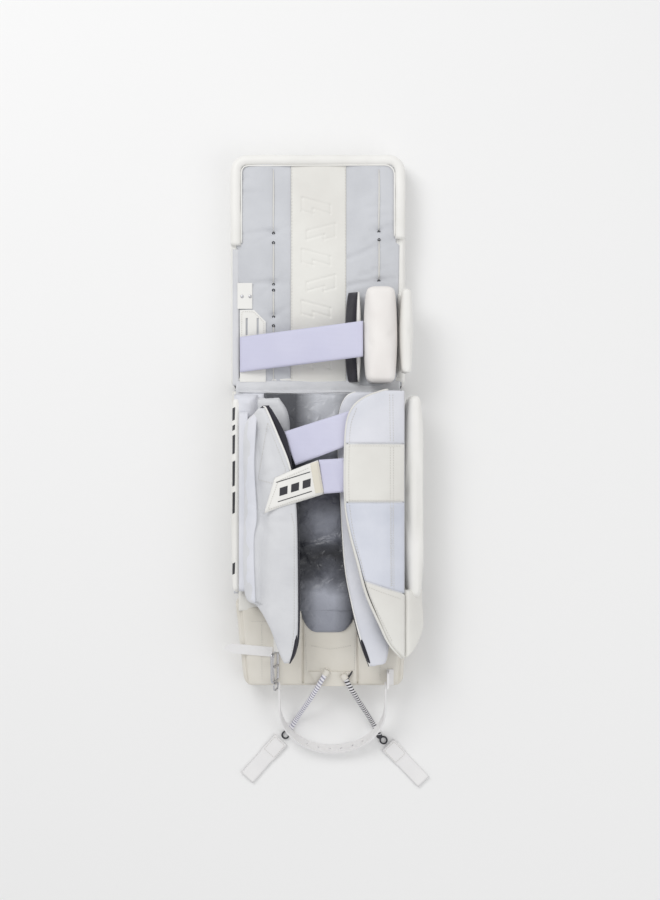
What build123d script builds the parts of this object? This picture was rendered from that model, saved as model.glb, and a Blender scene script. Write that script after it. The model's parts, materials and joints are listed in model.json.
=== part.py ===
from build123d import *
import os
from math import asin, degrees, pi, radians, sin, tan

# A hockey goalie's leg pad, lying on its front face with the leg side up.
# x runs across the pad, y runs from the toe (negative) to the thigh, z points out of the pad's back.
# The origin is on the floor, under the middle of the knee. The thigh section lies flat, the shin section
# rises from the knee break to the boot break, and the boot section comes down to the floor at the toe.

# ---- Driving dimensions, in millimetres and degrees ----
pad_width = 279.0  # face width, eleven inches
thigh_length = 379.0
shin_length = 338.0
boot_length = 140.0
pad_depth = 50.0  # front face to the back of a section
knee_y = -82.0  # the knee break line, on the front face
shin_rise = 4.0  # how steeply the shin's front face lifts off the floor
skin = 2.5
stiffener_thickness = 1.5
panel_thickness = 4.0
leather = 3.0
elastic = 2.5
lining = 1.6
fit = 0.3  # clearance between pieces that lie against each other
swing_gap = 1.0  # clearance beside a piece that moves

# ---- Breaks, and the two leans ----
half_width = pad_width / 2
left_side = -half_width
right_side = half_width
boot_y = knee_y - shin_length
toe_y = boot_y - boot_length
thigh_top = knee_y + thigh_length
boot_lift = shin_length * sin(radians(shin_rise))
boot_fall = degrees(asin(boot_lift / boot_length))
break_slit = 1.0
knee_wedge = 6.0  # how far the thigh's back stands off the knee break, so that the knee can close
far = 1200.0

# ---- Outline ----
top_corner = 20.0
toe_corner = 14.0
boot_left_heel = left_side + 7.5
boot_left_toe = left_side + 20.5
boot_right_toe = right_side - 1.5

# ---- Heights of a section's layers ----
panel_z = pad_depth - panel_thickness
stiffener_z = panel_z - fit - stiffener_thickness
panel_seam = 0.6

# ---- Thigh trim ----
binding_width = 15.0
binding_height = 9.0
binding_bottom = 150.0
center_panel_left = -44.0
center_panel_right = 46.0
lace_radius = 1.3
left_lace_x = left_side + 67.0
right_lace_x = right_side - 40.1
left_lace_runs = [(262.0, 174.0), (155.0, 90.5), (78.0, 37.5)]
right_lace_runs = [(262.0, 176.0), (160.0, 96.0)]
eyelet_radius = 3.0
eyelet_height = 1.0

# ---- Knee ----
slot_tab_left = left_side + 12.5
slot_tab_right = left_side + 54.5
slot_tab_top = 47.0
slot_tab_bottom = -70.0
slot_tab_chamfer = 19.0
slot_width = 3.5
slot_length = 28.0
slot_low = 6.0
slot_xs = (left_side + 23.5, left_side + 41.5)
snap_patch_x = (left_side + 8.5, left_side + 32.5)
snap_patch_y = (49.0, 91.0)
snap_xs = (left_side + 14.0, left_side + 27.0)
snap_y = 69.0
snap_radius = 2.6
snap_height = 1.6
block_x = (right_side - 64.5, right_side - 12.5)
block_y = (-75.0, 83.0)
block_top = 118.0
block_corner = 12.0
block_edge = 9.0
knee_wing_x = (right_side - 8.5, right_side + 12.5)
knee_wing_y = (-62.0, 81.0)
knee_wing_z = (54.0, 110.0)
knee_wing_corner = 22.0
knee_wing_edge = 6.0
knee_wing_foot_inset = 8.0
flap_foot = right_side - 95.5
flap_lean = 14.0
flap_thickness = 10.0
flap_y = (-70.0, 74.0)
flap_top = 80.0
flap_corner = 26.0
knee_strap_width = 57.0
knee_strap_left = (left_side + 13.5, -26.0, 60.0)
knee_strap_right = (right_side - 68.5, -3.0, 100.0)

# ---- Shin ----
wall_top = 91.0
left_wall_x = (left_side + 0.5, left_side + 16.5)
right_wall_x = (right_side - 19.5, right_side - 3.5)
right_wall_top = 100.0
wall_y = (-97.0, -412.0)
wall_round = 5.0
back_panel_x = (left_side + 17.1, left_side + 47.5)
liner_x = (left_side + 53.5, right_side - 39.5)
liner_height = 16.0
liner_hollow = 340.0
liner_floor = 3.5
side_wing_x = (right_side + 0.5, right_side + 27.5)
side_wing_y = (-90.0, -422.0)
side_wing_z = (46.0, 106.0)
side_wing_corner = 28.0
side_wing_edge = 8.0
piping_radius = 1.8
piping_inset = 10.0

# ---- Calf wraps: round shells along y, given by centre x, centre z and outer radius ----
left_shell = (left_side + 94.5, 30.0, 98.0)
outer_shell = (right_side - 64.5, 20.0, 110.0)
inner_shell = (right_side - 64.5, 18.0, 86.0)
wrap_thickness = 8.0
wrap_panel_seam = 0.6
tab_lift = 1.0

# ---- Straps over the calf ----
calf_strap_width = 54.0
strap_under = 1.0  # drop of a strap below the outer wrap's lining

# ---- Boot ----
boot_channel_x = (-24.0, 64.0)
boot_channel_y = (-556.0, -470.0)
boot_left_x = (left_side + 27.5, -26.0)
boot_right_x = (66.0, right_side - 15.5)
boot_panel_rise = 4.0
toe_tab_top_x = (-15.0, 55.0)
toe_tab_low_x = (0.0, 44.0)
toe_tab_y = (-534.0, -558.5)

# ---- Boot strap and buckle ----
loop_radius = 86.0
loop_center_x = right_side - 30.0 - loop_radius
loop_reach = 124.0
loop_y = -563.0
loop_z = 60.0
loop_width = 20.0
loop_thickness = 2.6
loop_toe_gap = 0.6
loop_tail = 7.0
hole_radius = 2.2
hole_turns = (-54, -67, -80, -93, -106, -119)
buckle_x = loop_center_x - loop_radius - 3.9
buckle_y = (-548.0, -497.0)
buckle_height = 24.0
buckle_wire = 2.6
prong_radius = 1.3
buckle_corner = 5.0
buckle_lift = 2.0
buckle_tab_width = 10.0
buckle_tab_length = 22.0
buckle_tab_height = 14.0
tip_root = (buckle_x - 7.6, -507.0)
tip_length = 78.0
tip_width = 16.0
tip_point = 12.0
tip_end_width = 4.0
tip_turn = -5.0
anchor_y = (-556.0, -530.0)
anchor_height = 24.0
anchor_foot = 11.2

# ---- Toe ties ----
tie_diameter = 8.0
ferrule_length = 9.0
ferrule_radius = 6.0
ferrule_foot = (6.0, 5.0)
ferrule_sink = 3.0
ring_radius = 5.5
ring_wire = 1.2
left_tie_route = [(11, -546, 63), (2.5, -560.5, 63), (-8, -579, 57), (-19, -598, 37), (-30, -616, 15),
                  (-39.5, -632.5, 5), (-49, -648, 4.2)]
right_tie_route = [(45, -553, 62), (53, -567, 62), (63.5, -585.5, 55.5), (74, -604, 36.5), (84.5, -622, 16),
                   (94, -640, 5.5), (103, -657, 4.2)]
tail_width = 27.0
tail_thickness = 2.4
tail_length = 85.0
tail_gap = 5.0
tail_corner = 3.0
ring_gap = 1.2
ring_rise = 1.4
left_tail_turn = 228.0
right_tail_turn = 314.0


def block(xs, ys, zs):
    """A block between six planes, each pair in either order."""
    size = [abs(pair[1] - pair[0]) for pair in (xs, ys, zs)]
    middle = [(pair[1] + pair[0]) / 2 for pair in (xs, ys, zs)]
    return Pos(*middle) * Box(*size)


def outline(points):
    return make_face(Polyline(*points, close=True))


def prism(face, z0, z1):
    return Pos(0, 0, z0) * extrude(face, amount=z1 - z0)


def lean_shin(shape):
    """Lifts a flat-drawn shin piece about the knee break, and keeps it on the shin's side of the break."""
    lifted = shape.rotate(Axis((0, knee_y, 0), (1, 0, 0)), -shin_rise)
    return lifted & block((-far, far), (-far, knee_y - break_slit), (-far, far))


def lean_boot(shape):
    """Turns a flat-drawn boot piece down about the boot break, and lifts it with the shin."""
    turned = shape.rotate(Axis((0, boot_y, 0), (1, 0, 0)), boot_fall + shin_rise)
    return turned.rotate(Axis((0, knee_y, 0), (1, 0, 0)), -shin_rise)


thigh_face = fillet(outline([
    (-half_width, knee_y), (half_width, knee_y),
    (half_width, thigh_top), (-half_width, thigh_top)]).vertices().group_by(Axis.Y)[-1], top_corner)
shin_face = outline([
    (-half_width, knee_y + 10), (half_width, knee_y + 10),
    (half_width, boot_y + break_slit), (boot_left_heel, boot_y + break_slit)])
boot_face = fillet(outline([
    (boot_left_heel, boot_y - break_slit), (half_width, boot_y - break_slit),
    (boot_right_toe, toe_y), (boot_left_toe, toe_y)]).vertices().group_by(Axis.Y)[0], toe_corner)
wedge = Plane.YZ * outline([
    (knee_y, -1), (knee_y, 0), (knee_y + knee_wedge, pad_depth),
    (knee_y + 2.5 * knee_wedge, far), (far, far), (far, -1)])
thigh_side = Pos(-far, 0, 0) * extrude(wedge, amount=2 * far)


def cover(face):
    """The skin over a section's front and sides, open at the back."""
    return prism(face, 0, panel_z) - prism(offset(face, amount=-skin), skin, panel_z)


def core(face):
    """The foam slab inside a cover."""
    return prism(offset(face, amount=-skin - fit), skin + fit, stiffener_z - fit)


def stiffener(face):
    """The plastic sheet behind the foam."""
    return prism(offset(face, amount=-skin - fit), stiffener_z, stiffener_z + stiffener_thickness)


def thigh_panel(xs):
    """A strip of the thigh's back between two seams."""
    return prism(thigh_face, panel_z, pad_depth) & block(xs, (-far, far), (0, far)) & thigh_side


def thigh_binding():
    """The leather roll over the top edge and down both sides."""
    ring = prism(thigh_face, pad_depth, pad_depth + binding_height)
    ring -= prism(offset(thigh_face, amount=-binding_width), pad_depth, pad_depth + binding_height)
    ring = ring & block((-far, far), (binding_bottom, far), (0, far))
    return fillet(ring.edges().group_by(Axis.Z)[-1].filter_by(GeomType.LINE).sort_by(Axis.Y)[1:], 3.0)


def lace_stitch(x, y_high, y_low):
    """One stitch of lace lying on a panel."""
    place = Pos(x, (y_high + y_low) / 2, pad_depth + lace_radius)
    return place * Rot(90, 0, 0) * Cylinder(lace_radius, y_high - y_low)


def lace_runs():
    """Every lace stitch as its x, upper end and lower end."""
    left = [(left_lace_x, high, low) for high, low in left_lace_runs]
    return left + [(right_lace_x, high, low) for high, low in right_lace_runs]


def thigh_lacing():
    return Compound(children=[lace_stitch(*run) for run in lace_runs()])


def lace_eyelets():
    """A ring at the lower end of each stitch, just past the lace."""
    rings = []
    for x, _, low in lace_runs():
        ring = Cylinder(eyelet_radius, eyelet_height) - Cylinder(lace_radius, eyelet_height)
        rings.append(Pos(x, low - eyelet_radius - fit, pad_depth + eyelet_height / 2) * ring)
    return Compound(children=rings)


def strap_slot_tab():
    """The leather tab with two slots for the knee strap."""
    plate = prism(outline([
        (slot_tab_left, slot_tab_bottom), (slot_tab_right, slot_tab_bottom),
        (slot_tab_right, slot_tab_top - slot_tab_chamfer), (slot_tab_right - slot_tab_chamfer, slot_tab_top),
        (slot_tab_left, slot_tab_top)]), pad_depth, pad_depth + leather)
    for x in slot_xs:
        slot_x = (x - slot_width / 2, x + slot_width / 2)
        plate -= block(slot_x, (slot_low, slot_low + slot_length), (0, far))
    return plate


def snap_patch():
    return block(snap_patch_x, snap_patch_y, (pad_depth, pad_depth + leather))


def snaps():
    top = pad_depth + leather
    caps = [Pos(x, snap_y, top + snap_height / 2) * Cylinder(snap_radius, snap_height) for x in snap_xs]
    return Compound(children=caps)


def knee_block():
    """The firm cushion under the knee."""
    body = block(block_x, block_y, (pad_depth, block_top))
    body = fillet(body.edges().filter_by(Axis.Z), block_corner)
    return fillet(body.edges().group_by(Axis.Z)[-1], block_edge)


def knee_side_wing():
    """The upright roll outside the knee block."""
    body = block(knee_wing_x, knee_wing_y, knee_wing_z)
    body = fillet(body.edges().filter_by(Axis.X).group_by(Axis.Z)[-1], knee_wing_corner)
    body = fillet(body.edges().filter_by(Axis.Y).group_by(Axis.Z)[-1], knee_wing_edge)
    foot_y = (knee_wing_y[0] + knee_wing_foot_inset, knee_wing_y[1] - knee_wing_foot_inset)
    foot = block((knee_wing_x[0], right_side), foot_y, (pad_depth, knee_wing_z[0]))
    return body + foot


def flap_layer(x0, thickness):
    """A leaning sheet along y with round upper corners."""
    foot_z = pad_depth + swing_gap
    section = Plane.XZ * outline([
        (x0, foot_z), (x0 + thickness, foot_z),
        (x0 + thickness + flap_lean, flap_top), (x0 + flap_lean, flap_top)])
    sheet = Pos(0, flap_y[1], 0) * extrude(section, amount=flap_y[1] - flap_y[0])
    side = fillet(outline([
        (flap_y[0], foot_z), (flap_y[1], foot_z), (flap_y[1], flap_top), (flap_y[0], flap_top)]
    ).vertices().group_by(Axis.Y)[-1], flap_corner)
    return sheet & (Pos(-far, 0, 0) * extrude(Plane.YZ * side, amount=2 * far))


def knee_flap():
    return flap_layer(flap_foot + lining, flap_thickness)


def knee_flap_lining():
    return flap_layer(flap_foot, lining)


def sloped_strap(start, end, width):
    """A flat elastic whose top runs from start to end, cut square across x."""
    (x0, y0, z0), (x1, y1, z1) = start, end
    section = Plane.XZ * outline([(x0, z0 - elastic), (x1, z1 - elastic), (x1, z1), (x0, z0)])
    slab = Pos(0, far, 0) * extrude(section, amount=2 * far)
    plan = outline([(x0, y0 - width / 2), (x1, y1 - width / 2), (x1, y1 + width / 2), (x0, y0 + width / 2)])
    return slab & prism(plan, -far, far)


def knee_strap():
    return sloped_strap(knee_strap_left, knee_strap_right, knee_strap_width)


def side_wall(xs, top):
    """A padded wall of the leg channel, level along its top."""
    body = lean_shin(block(xs, wall_y, (pad_depth, 2 * top))) & block((-far, far), (-far, far), (0, top))
    return fillet(body.edges().group_by(Axis.Z)[-1].filter_by(Axis.Y), wall_round)


def channel_liner():
    """The padded floor of the leg channel, hollowed along its middle."""
    body = block(liner_x, (knee_y - 12, boot_y + 4), (pad_depth, pad_depth + liner_height))
    hollow = Pos(sum(liner_x) / 2, (knee_y + boot_y) / 2, pad_depth + liner_floor + liner_hollow)
    return lean_shin(body - hollow * Rot(90, 0, 0) * Cylinder(liner_hollow, 2 * shin_length))


def left_back_panel():
    """The nylon panel between the left wall and the channel."""
    ys = (knee_y - 14, boot_y + 6)
    return lean_shin(block(back_panel_x, ys, (pad_depth, pad_depth + panel_thickness)))


def right_side_wing():
    """The long upright roll outside the outer wrap."""
    body = block(side_wing_x, side_wing_y, side_wing_z)
    body = fillet(body.edges().filter_by(Axis.X).group_by(Axis.Z)[-1], side_wing_corner)
    return fillet(body.edges().filter_by(Axis.Y), side_wing_edge)


def knee_break_piping():
    """The cord sewn along the shin's edge of the knee break."""
    rod = Rot(0, 90, 0) * Cylinder(piping_radius, pad_width - 2 * piping_inset)
    return Pos(0, knee_y - break_slit - 4, pad_depth + piping_radius + 2 * fit) * rod


def shell_band(shell, low, high):
    """A round band along y, between two depths below a shell's outer surface. Low is the deeper."""
    center_x, center_z, radius = shell
    ring = Circle(radius - high) - Circle(radius - low)
    upper = Pos(0, radius) * Rectangle(4 * radius, 2 * radius)
    section = Plane.XZ * (Pos(center_x, center_z) * (ring & upper))
    return Pos(0, far, 0) * extrude(section, amount=2 * far)


def smooth_outline(curve, straight):
    """An outline with a smooth side through curve, closed by straight lines through straight."""
    edge = Spline(*curve)
    rest = Polyline(curve[-1], *straight, curve[0])
    return make_face(Curve() + [edge, rest])


def from_left(points):
    """Points given by how far in they are from the pad's left side."""
    return [(left_side + inset, y) for inset, y in points]


def from_right(points):
    """Points given by how far in they are from the pad's right side."""
    return [(right_side - inset, y) for inset, y in points]


left_edge = from_left([(58.5, -116), (77.5, -160), (95.5, -207), (105.5, -262), (108.5, -360), (108.5, -465),
                       (104.5, -508), (95.5, -519)])
left_rest = from_left([(86.5, -519), (77.5, -500), (63.5, -462), (43.5, -430), (23.5, -404), (23.5, -150),
                       (40.5, -122)])
outer_edge = from_right([(10.5, -88), (35.5, -87), (62.5, -97), (81.5, -112), (91.5, -135), (94.5, -175),
                         (94.5, -260), (87.5, -312), (75.5, -359), (62.5, -408), (41.5, -456), (25.5, -489),
                         (5.5, -513)])
outer_rest = from_right([(3.5, -513), (3.5, -88)])
inner_edge = from_right([(65.5, -90), (79.5, -88), (95.5, -98), (105.5, -127), (106.5, -185), (102.5, -253),
                         (96.5, -359), (85.5, -424), (69.5, -489), (56.5, -527)])
inner_rest = from_right([(25.5, -500), (25.5, -92)])


def left_wrap(low, high):
    return shell_band(left_shell, low, high) & prism(smooth_outline(left_edge, left_rest), 0, far)


def outer_wrap(low, high):
    return shell_band(outer_shell, low, high) & prism(smooth_outline(outer_edge, outer_rest), 0, far)


def inner_wrap(low, high):
    return shell_band(inner_shell, low, high) & prism(smooth_outline(inner_edge, inner_rest), 0, far)


guard_outline = from_right([(2.0, -423), (-20.5, -423), (-24.5, -470), (-10.5, -507), (2.0, -512)])


def ankle_guard():
    """The fixed lip outside the outer wrap's lower panel."""
    return shell_band(outer_shell, wrap_thickness, 0) & prism(outline(guard_outline), 0, far)


top_seam = -171.0
band_seam = -264.0
lower_seam_slope = -0.41
lower_seam = [(right_side - 69.5 + reach, -385 + lower_seam_slope * reach) for reach in (-far, far)]


def outer_wrap_panel(upper, lower):
    """The part of the outer wrap's shell between two seam lines, each given by two points."""
    (ux0, uy0), (ux1, uy1) = upper
    (lx0, ly0), (lx1, ly1) = lower
    gap = wrap_panel_seam / 2
    window = outline([(ux0, uy0 - gap), (ux1, uy1 - gap), (lx1, ly1 + gap), (lx0, ly0 + gap)])
    return outer_wrap(wrap_thickness - lining, 0) & prism(window, 0, far)


def level(y):
    return [(-far, y), (far, y)]


def strap_drop(x):
    """The height that a strap's top keeps under the outer wrap's lining at the wrap's free edge."""
    center_x, center_z, radius = outer_shell
    reach = radius - wrap_thickness
    return center_z + (reach ** 2 - (x - center_x) ** 2) ** 0.5 - strap_under


edge_x = right_side - 95.5
strap_end_x = right_side - 69.5
upper_strap_left = from_left([(82.5, -152), (103.5, -203)])
lower_strap_left = from_left([(150.1, -251), (140.7, -196)])
upper_strap_y = (-143.0, -140.0)
lower_strap_y = (-246.0, -192.0)


def upper_calf_strap():
    """The upper elastic, sewn under the outer wrap; its left end is cut along the left wrap's edge."""
    top = strap_drop(edge_x)
    half = calf_strap_width / 2
    edge_y, end_y = upper_strap_y
    plan = outline(upper_strap_left + [
        (edge_x, edge_y - half), (strap_end_x, end_y - half),
        (strap_end_x, end_y + half), (edge_x, edge_y + half)])
    return prism(plan, top - elastic, top)


def lower_calf_strap():
    """The lower elastic, from the calf tab's end to under the outer wrap."""
    top = strap_drop(edge_x)
    right = [(strap_end_x, y) for y in lower_strap_y]
    plan = outline([lower_strap_left[0], *right, lower_strap_left[1]])
    return prism(plan, top - elastic, top)


tab_plan = from_left([(54.5, -282), (71.5, -225), (139.9, -197), (149.3, -251), (106.5, -264)])


def calf_tab():
    """The leather tab that lies over the left wrap and meets the lower elastic."""
    tab = shell_band(left_shell, -tab_lift, -tab_lift - leather)
    return tab & prism(outline(tab_plan), 0, far)


def boot_panel(xs, ys):
    """A padded panel on the boot's back."""
    body = block(xs, ys, (pad_depth, pad_depth + boot_panel_rise))
    return lean_boot(fillet(body.edges().group_by(Axis.Z)[-1], 2))


def boot_channel_panel():
    """The leather panel under the heel."""
    return lean_boot(block(boot_channel_x, boot_channel_y, (pad_depth, pad_depth + leather)))


def toe_tab():
    """The stiff trapezoid tab that the toe ties pass through."""
    plan = outline([(toe_tab_top_x[0], toe_tab_y[0]), (toe_tab_top_x[1], toe_tab_y[0]),
                    (toe_tab_low_x[1], toe_tab_y[1]), (toe_tab_low_x[0], toe_tab_y[1])])
    top = pad_depth + leather
    return lean_boot(prism(plan, top, top + leather))


loop_fall = degrees(asin((loop_z - loop_toe_gap) / loop_reach))


def lower_loop(shape):
    """Turns a flat-drawn piece of the boot strap down about its pivot line."""
    return shape.rotate(Axis((0, loop_y, loop_z), (1, 0, 0)), loop_fall)


def loop_outline(radius):
    """A U with its legs towards the boot, closed by a straight line."""
    bottom = loop_y - loop_reach + loop_radius
    far_half = Pos(loop_center_x, bottom - radius) * Rectangle(2 * radius, 2 * radius)
    disk = Pos(loop_center_x, bottom) * Circle(radius) & far_half
    legs_top = loop_y + loop_tail
    legs = Pos(loop_center_x, (bottom + legs_top) / 2) * Rectangle(2 * radius, legs_top - bottom)
    return disk + legs


def boot_strap():
    """The strap's U, standing on edge, with holes round its far end."""
    outer = prism(loop_outline(loop_radius + loop_thickness / 2), loop_z, loop_z + loop_width)
    inner = prism(loop_outline(loop_radius - loop_thickness / 2), 0, far)
    body = outer - inner
    for turn in hole_turns:
        center = Pos(loop_center_x, loop_y - loop_reach + loop_radius, loop_z + loop_width / 2)
        body -= center * Rot(0, 0, turn) * Pos(loop_radius, 0, 0) * Rot(0, 90, 0) * Cylinder(hole_radius, 12)
    return lower_loop(body)


def buckle_frame():
    """The wire frame that the strap's tongue ends in, standing on edge."""
    ys = buckle_y
    base = pad_depth + boot_panel_rise + buckle_lift
    outer = block((buckle_x - buckle_wire / 2, buckle_x + buckle_wire / 2), ys, (base, base + buckle_height))
    outer = fillet(outer.edges().filter_by(Axis.X), buckle_corner)
    wire = buckle_wire
    window = block((-far, far), (ys[0] + wire, ys[1] - wire), (base + wire, base + buckle_height - wire))
    return lean_boot(outer - window)


def buckle_tab():
    """The leather block that holds the buckle's near end."""
    base = pad_depth + boot_panel_rise
    xs = (buckle_x - buckle_tab_width / 2, buckle_x + buckle_tab_width / 2)
    ys = (buckle_y[1], buckle_y[1] + buckle_tab_length)
    return lean_boot(block(xs, ys, (base, base + buckle_tab_height)))


prong_x = buckle_x - buckle_wire / 2 - prong_radius - fit
prong_z = pad_depth + boot_panel_rise + buckle_lift + buckle_height / 2


def buckle_prong():
    """The prong, lying along the outside of the frame."""
    length = buckle_y[1] - buckle_y[0] - 2
    rod = Rot(90, 0, 0) * Cylinder(prong_radius, length)
    return lean_boot(Pos(prong_x, sum(buckle_y) / 2, prong_z) * rod)


def strap_tip():
    """The strap's pointed free end, lying out over the boot's inner side."""
    base = pad_depth + boot_panel_rise
    half = tip_width / 2
    root, y = tip_root
    tip = root - tip_length
    plan = outline([
        (root, -half), (root, half), (tip + tip_point, half),
        (tip, tip_end_width / 2), (tip, -tip_end_width / 2), (tip + tip_point, -half)])
    return lean_boot(Pos(0, y, 0) * Rot(0, 0, tip_turn) * prism(plan, base, base + leather))


def boot_strap_anchor():
    """The leather angle that the strap's right leg swings on."""
    base = pad_depth + boot_panel_rise
    leg = loop_center_x + loop_radius + loop_thickness / 2 + swing_gap
    foot = block((leg, leg + anchor_foot), anchor_y, (base, base + leather))
    upright = block((leg, leg + leather), anchor_y, (base, base + anchor_height))
    return lean_boot(foot + upright)


def tie_radii(route):
    """The largest tangent arc at each corner of a route."""
    radii = []
    for before, corner, after in zip(route, route[1:], route[2:]):
        into = Vector(*corner) - Vector(*before)
        out = Vector(*after) - Vector(*corner)
        turn = radians(into.get_angle(out))
        radii.append(0.45 * min(into.length, out.length) / tan(turn / 2))
    return radii


def toe_tie(route):
    """The round elastic tie from its ferrule down to its ring on the floor."""
    radii = tie_radii(route)
    path = FilletPolyline(*route, radius=radii)
    start = Plane(origin=path @ 0, z_dir=path % 0)
    tube = sweep(start * Circle(tie_diameter / 2), path=path)
    section = pi * tie_diameter ** 2 / 4
    print("tie", round(path.length, 1), "mm, volume ratio", round(tube.volume / section / path.length, 4),
          "radii", [round(r) for r in radii])
    return tube


def ferrule(route):
    """The moulded end that a tie comes out of, standing on the toe tab."""
    heading = (Vector(*route[0]) - Vector(*route[1])).normalized()
    plane = Plane(origin=route[0], z_dir=heading)
    barrel = extrude(plane * Circle(ferrule_radius), amount=ferrule_length)
    middle = Vector(*route[0]) + heading * (ferrule_length / 2)
    height = ferrule_radius + ferrule_sink
    foot = Pos(middle.X, middle.Y, middle.Z - height / 2) * Box(*ferrule_foot, height)
    return barrel + foot


def tie_ferrules():
    solids = [ferrule(left_tie_route), ferrule(right_tie_route)]
    ground = lean_boot(block((-far, far), (toe_y - 60, boot_y), (0, pad_depth + 2 * leather)))
    return Compound(children=[solid - ground for solid in solids])


def tail_place(route, turn):
    """The frame at a tie's lower end: its x axis points along the tail."""
    x, y, _ = route[-1]
    return Pos(x, y, 0) * Rot(0, 0, turn)


def tie_ring(route, turn):
    """The ring between a tie and its tail, lying on the floor."""
    ring = Torus(ring_radius, ring_wire)
    return tail_place(route, turn) * Pos(ring_radius + ring_wire + ring_gap, 0, ring_wire + ring_rise) * ring


def tie_rings():
    left = tie_ring(left_tie_route, left_tail_turn)
    right = tie_ring(right_tie_route, right_tail_turn)
    return Compound(children=[left, right])


def tie_tail(route, turn):
    """The hook-and-loop tab past a tie's ring."""
    start = 2 * (ring_radius + ring_wire) + tail_gap
    body = block((start, start + tail_length), (-tail_width / 2, tail_width / 2), (0.1, tail_thickness))
    body = fillet(body.edges().filter_by(Axis.Z), tail_corner)
    return tail_place(route, turn) * body


parts = {
    "thigh_cover": cover(thigh_face) & thigh_side,
    "thigh_core": core(thigh_face) & thigh_side,
    "thigh_stiffener": stiffener(thigh_face) & thigh_side,
    "thigh_panel_left": thigh_panel((-far, center_panel_left - panel_seam)),
    "thigh_panel_center": thigh_panel((center_panel_left, center_panel_right)),
    "thigh_panel_right": thigh_panel((center_panel_right + panel_seam, far)),
    "thigh_binding": thigh_binding(),
    "thigh_lacing": thigh_lacing(),
    "lace_eyelets": lace_eyelets(),
    "strap_slot_tab": strap_slot_tab(),
    "snap_patch": snap_patch(),
    "snaps": snaps(),
    "knee_block": knee_block(),
    "knee_side_wing": knee_side_wing(),
    "knee_flap": knee_flap(),
    "knee_flap_lining": knee_flap_lining(),
    "knee_strap": knee_strap(),
    "shin_cover": lean_shin(cover(shin_face)),
    "shin_core": lean_shin(core(shin_face)),
    "shin_stiffener": lean_shin(stiffener(shin_face)),
    "shin_back": lean_shin(prism(shin_face, panel_z, pad_depth)),
    "channel_liner": channel_liner(),
    "left_side_wall": side_wall(left_wall_x, wall_top),
    "right_side_wall": side_wall(right_wall_x, right_wall_top),
    "right_side_wing": right_side_wing(),
    "ankle_guard": ankle_guard(),
    "left_back_panel": left_back_panel(),
    "knee_break_piping": knee_break_piping(),
    "left_wrap_shell": left_wrap(wrap_thickness - lining, 0),
    "left_wrap_lining": left_wrap(wrap_thickness, wrap_thickness - lining),
    "calf_tab": calf_tab(),
    "right_wrap_top_panel": outer_wrap_panel(level(far), level(top_seam)),
    "right_wrap_band": outer_wrap_panel(level(top_seam), level(band_seam)),
    "right_wrap_mid_panel": outer_wrap_panel(level(band_seam), lower_seam),
    "right_wrap_lower_panel": outer_wrap_panel(lower_seam, level(-far)),
    "right_wrap_lining": outer_wrap(wrap_thickness, wrap_thickness - lining),
    "upper_calf_strap": upper_calf_strap(),
    "lower_calf_strap": lower_calf_strap(),
    "right_inner_wrap": inner_wrap(wrap_thickness - lining, 0),
    "right_inner_wrap_lining": inner_wrap(wrap_thickness, wrap_thickness - lining),
    "boot_cover": lean_boot(cover(boot_face)),
    "boot_core": lean_boot(core(boot_face)),
    "boot_stiffener": lean_boot(stiffener(boot_face)),
    "boot_back": lean_boot(prism(boot_face, panel_z, pad_depth)),
    "boot_channel_panel": boot_channel_panel(),
    "boot_left_panel": boot_panel(boot_left_x, (toe_y + 3, boot_y - 6)),
    "boot_right_panel": boot_panel(boot_right_x, (toe_y + 3, boot_y - 6)),
    "toe_tab": toe_tab(),
    "tie_ferrules": tie_ferrules(),
    "toe_tie_left": toe_tie(left_tie_route),
    "toe_tie_right": toe_tie(right_tie_route),
    "tie_rings": tie_rings(),
    "tie_tail_left": tie_tail(left_tie_route, left_tail_turn),
    "tie_tail_right": tie_tail(right_tie_route, right_tail_turn),
    "buckle_frame": buckle_frame(),
    "buckle_tab": buckle_tab(),
    "buckle_prong": buckle_prong(),
    "strap_tip": strap_tip(),
    "boot_strap_anchor": boot_strap_anchor(),
    "boot_strap": boot_strap(),
}

os.makedirs("parts", exist_ok=True)
for name, shape in parts.items():
    export_step(shape, f"parts/{name}.step")
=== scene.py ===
import json
import math

import bmesh
import bpy
import numpy as np
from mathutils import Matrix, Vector
from mathutils.bvhtree import BVHTree


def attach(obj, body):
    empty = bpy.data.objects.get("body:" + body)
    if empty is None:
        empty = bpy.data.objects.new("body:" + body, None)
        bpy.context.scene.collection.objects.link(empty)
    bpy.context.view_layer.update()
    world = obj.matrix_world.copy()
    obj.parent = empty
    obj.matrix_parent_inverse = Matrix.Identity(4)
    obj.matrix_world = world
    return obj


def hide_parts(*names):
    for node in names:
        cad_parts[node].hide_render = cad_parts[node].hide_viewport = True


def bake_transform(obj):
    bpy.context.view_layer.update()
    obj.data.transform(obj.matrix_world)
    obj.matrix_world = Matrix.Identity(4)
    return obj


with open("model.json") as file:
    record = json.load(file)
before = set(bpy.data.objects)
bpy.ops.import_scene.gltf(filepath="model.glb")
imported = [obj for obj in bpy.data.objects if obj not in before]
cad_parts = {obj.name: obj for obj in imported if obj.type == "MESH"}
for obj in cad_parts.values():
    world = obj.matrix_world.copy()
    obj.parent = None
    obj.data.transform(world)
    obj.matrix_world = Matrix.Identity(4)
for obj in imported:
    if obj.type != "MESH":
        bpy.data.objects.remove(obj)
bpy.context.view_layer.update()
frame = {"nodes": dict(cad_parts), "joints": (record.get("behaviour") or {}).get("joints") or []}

print("frame loaded", len(frame["nodes"]), "nodes")

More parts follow.
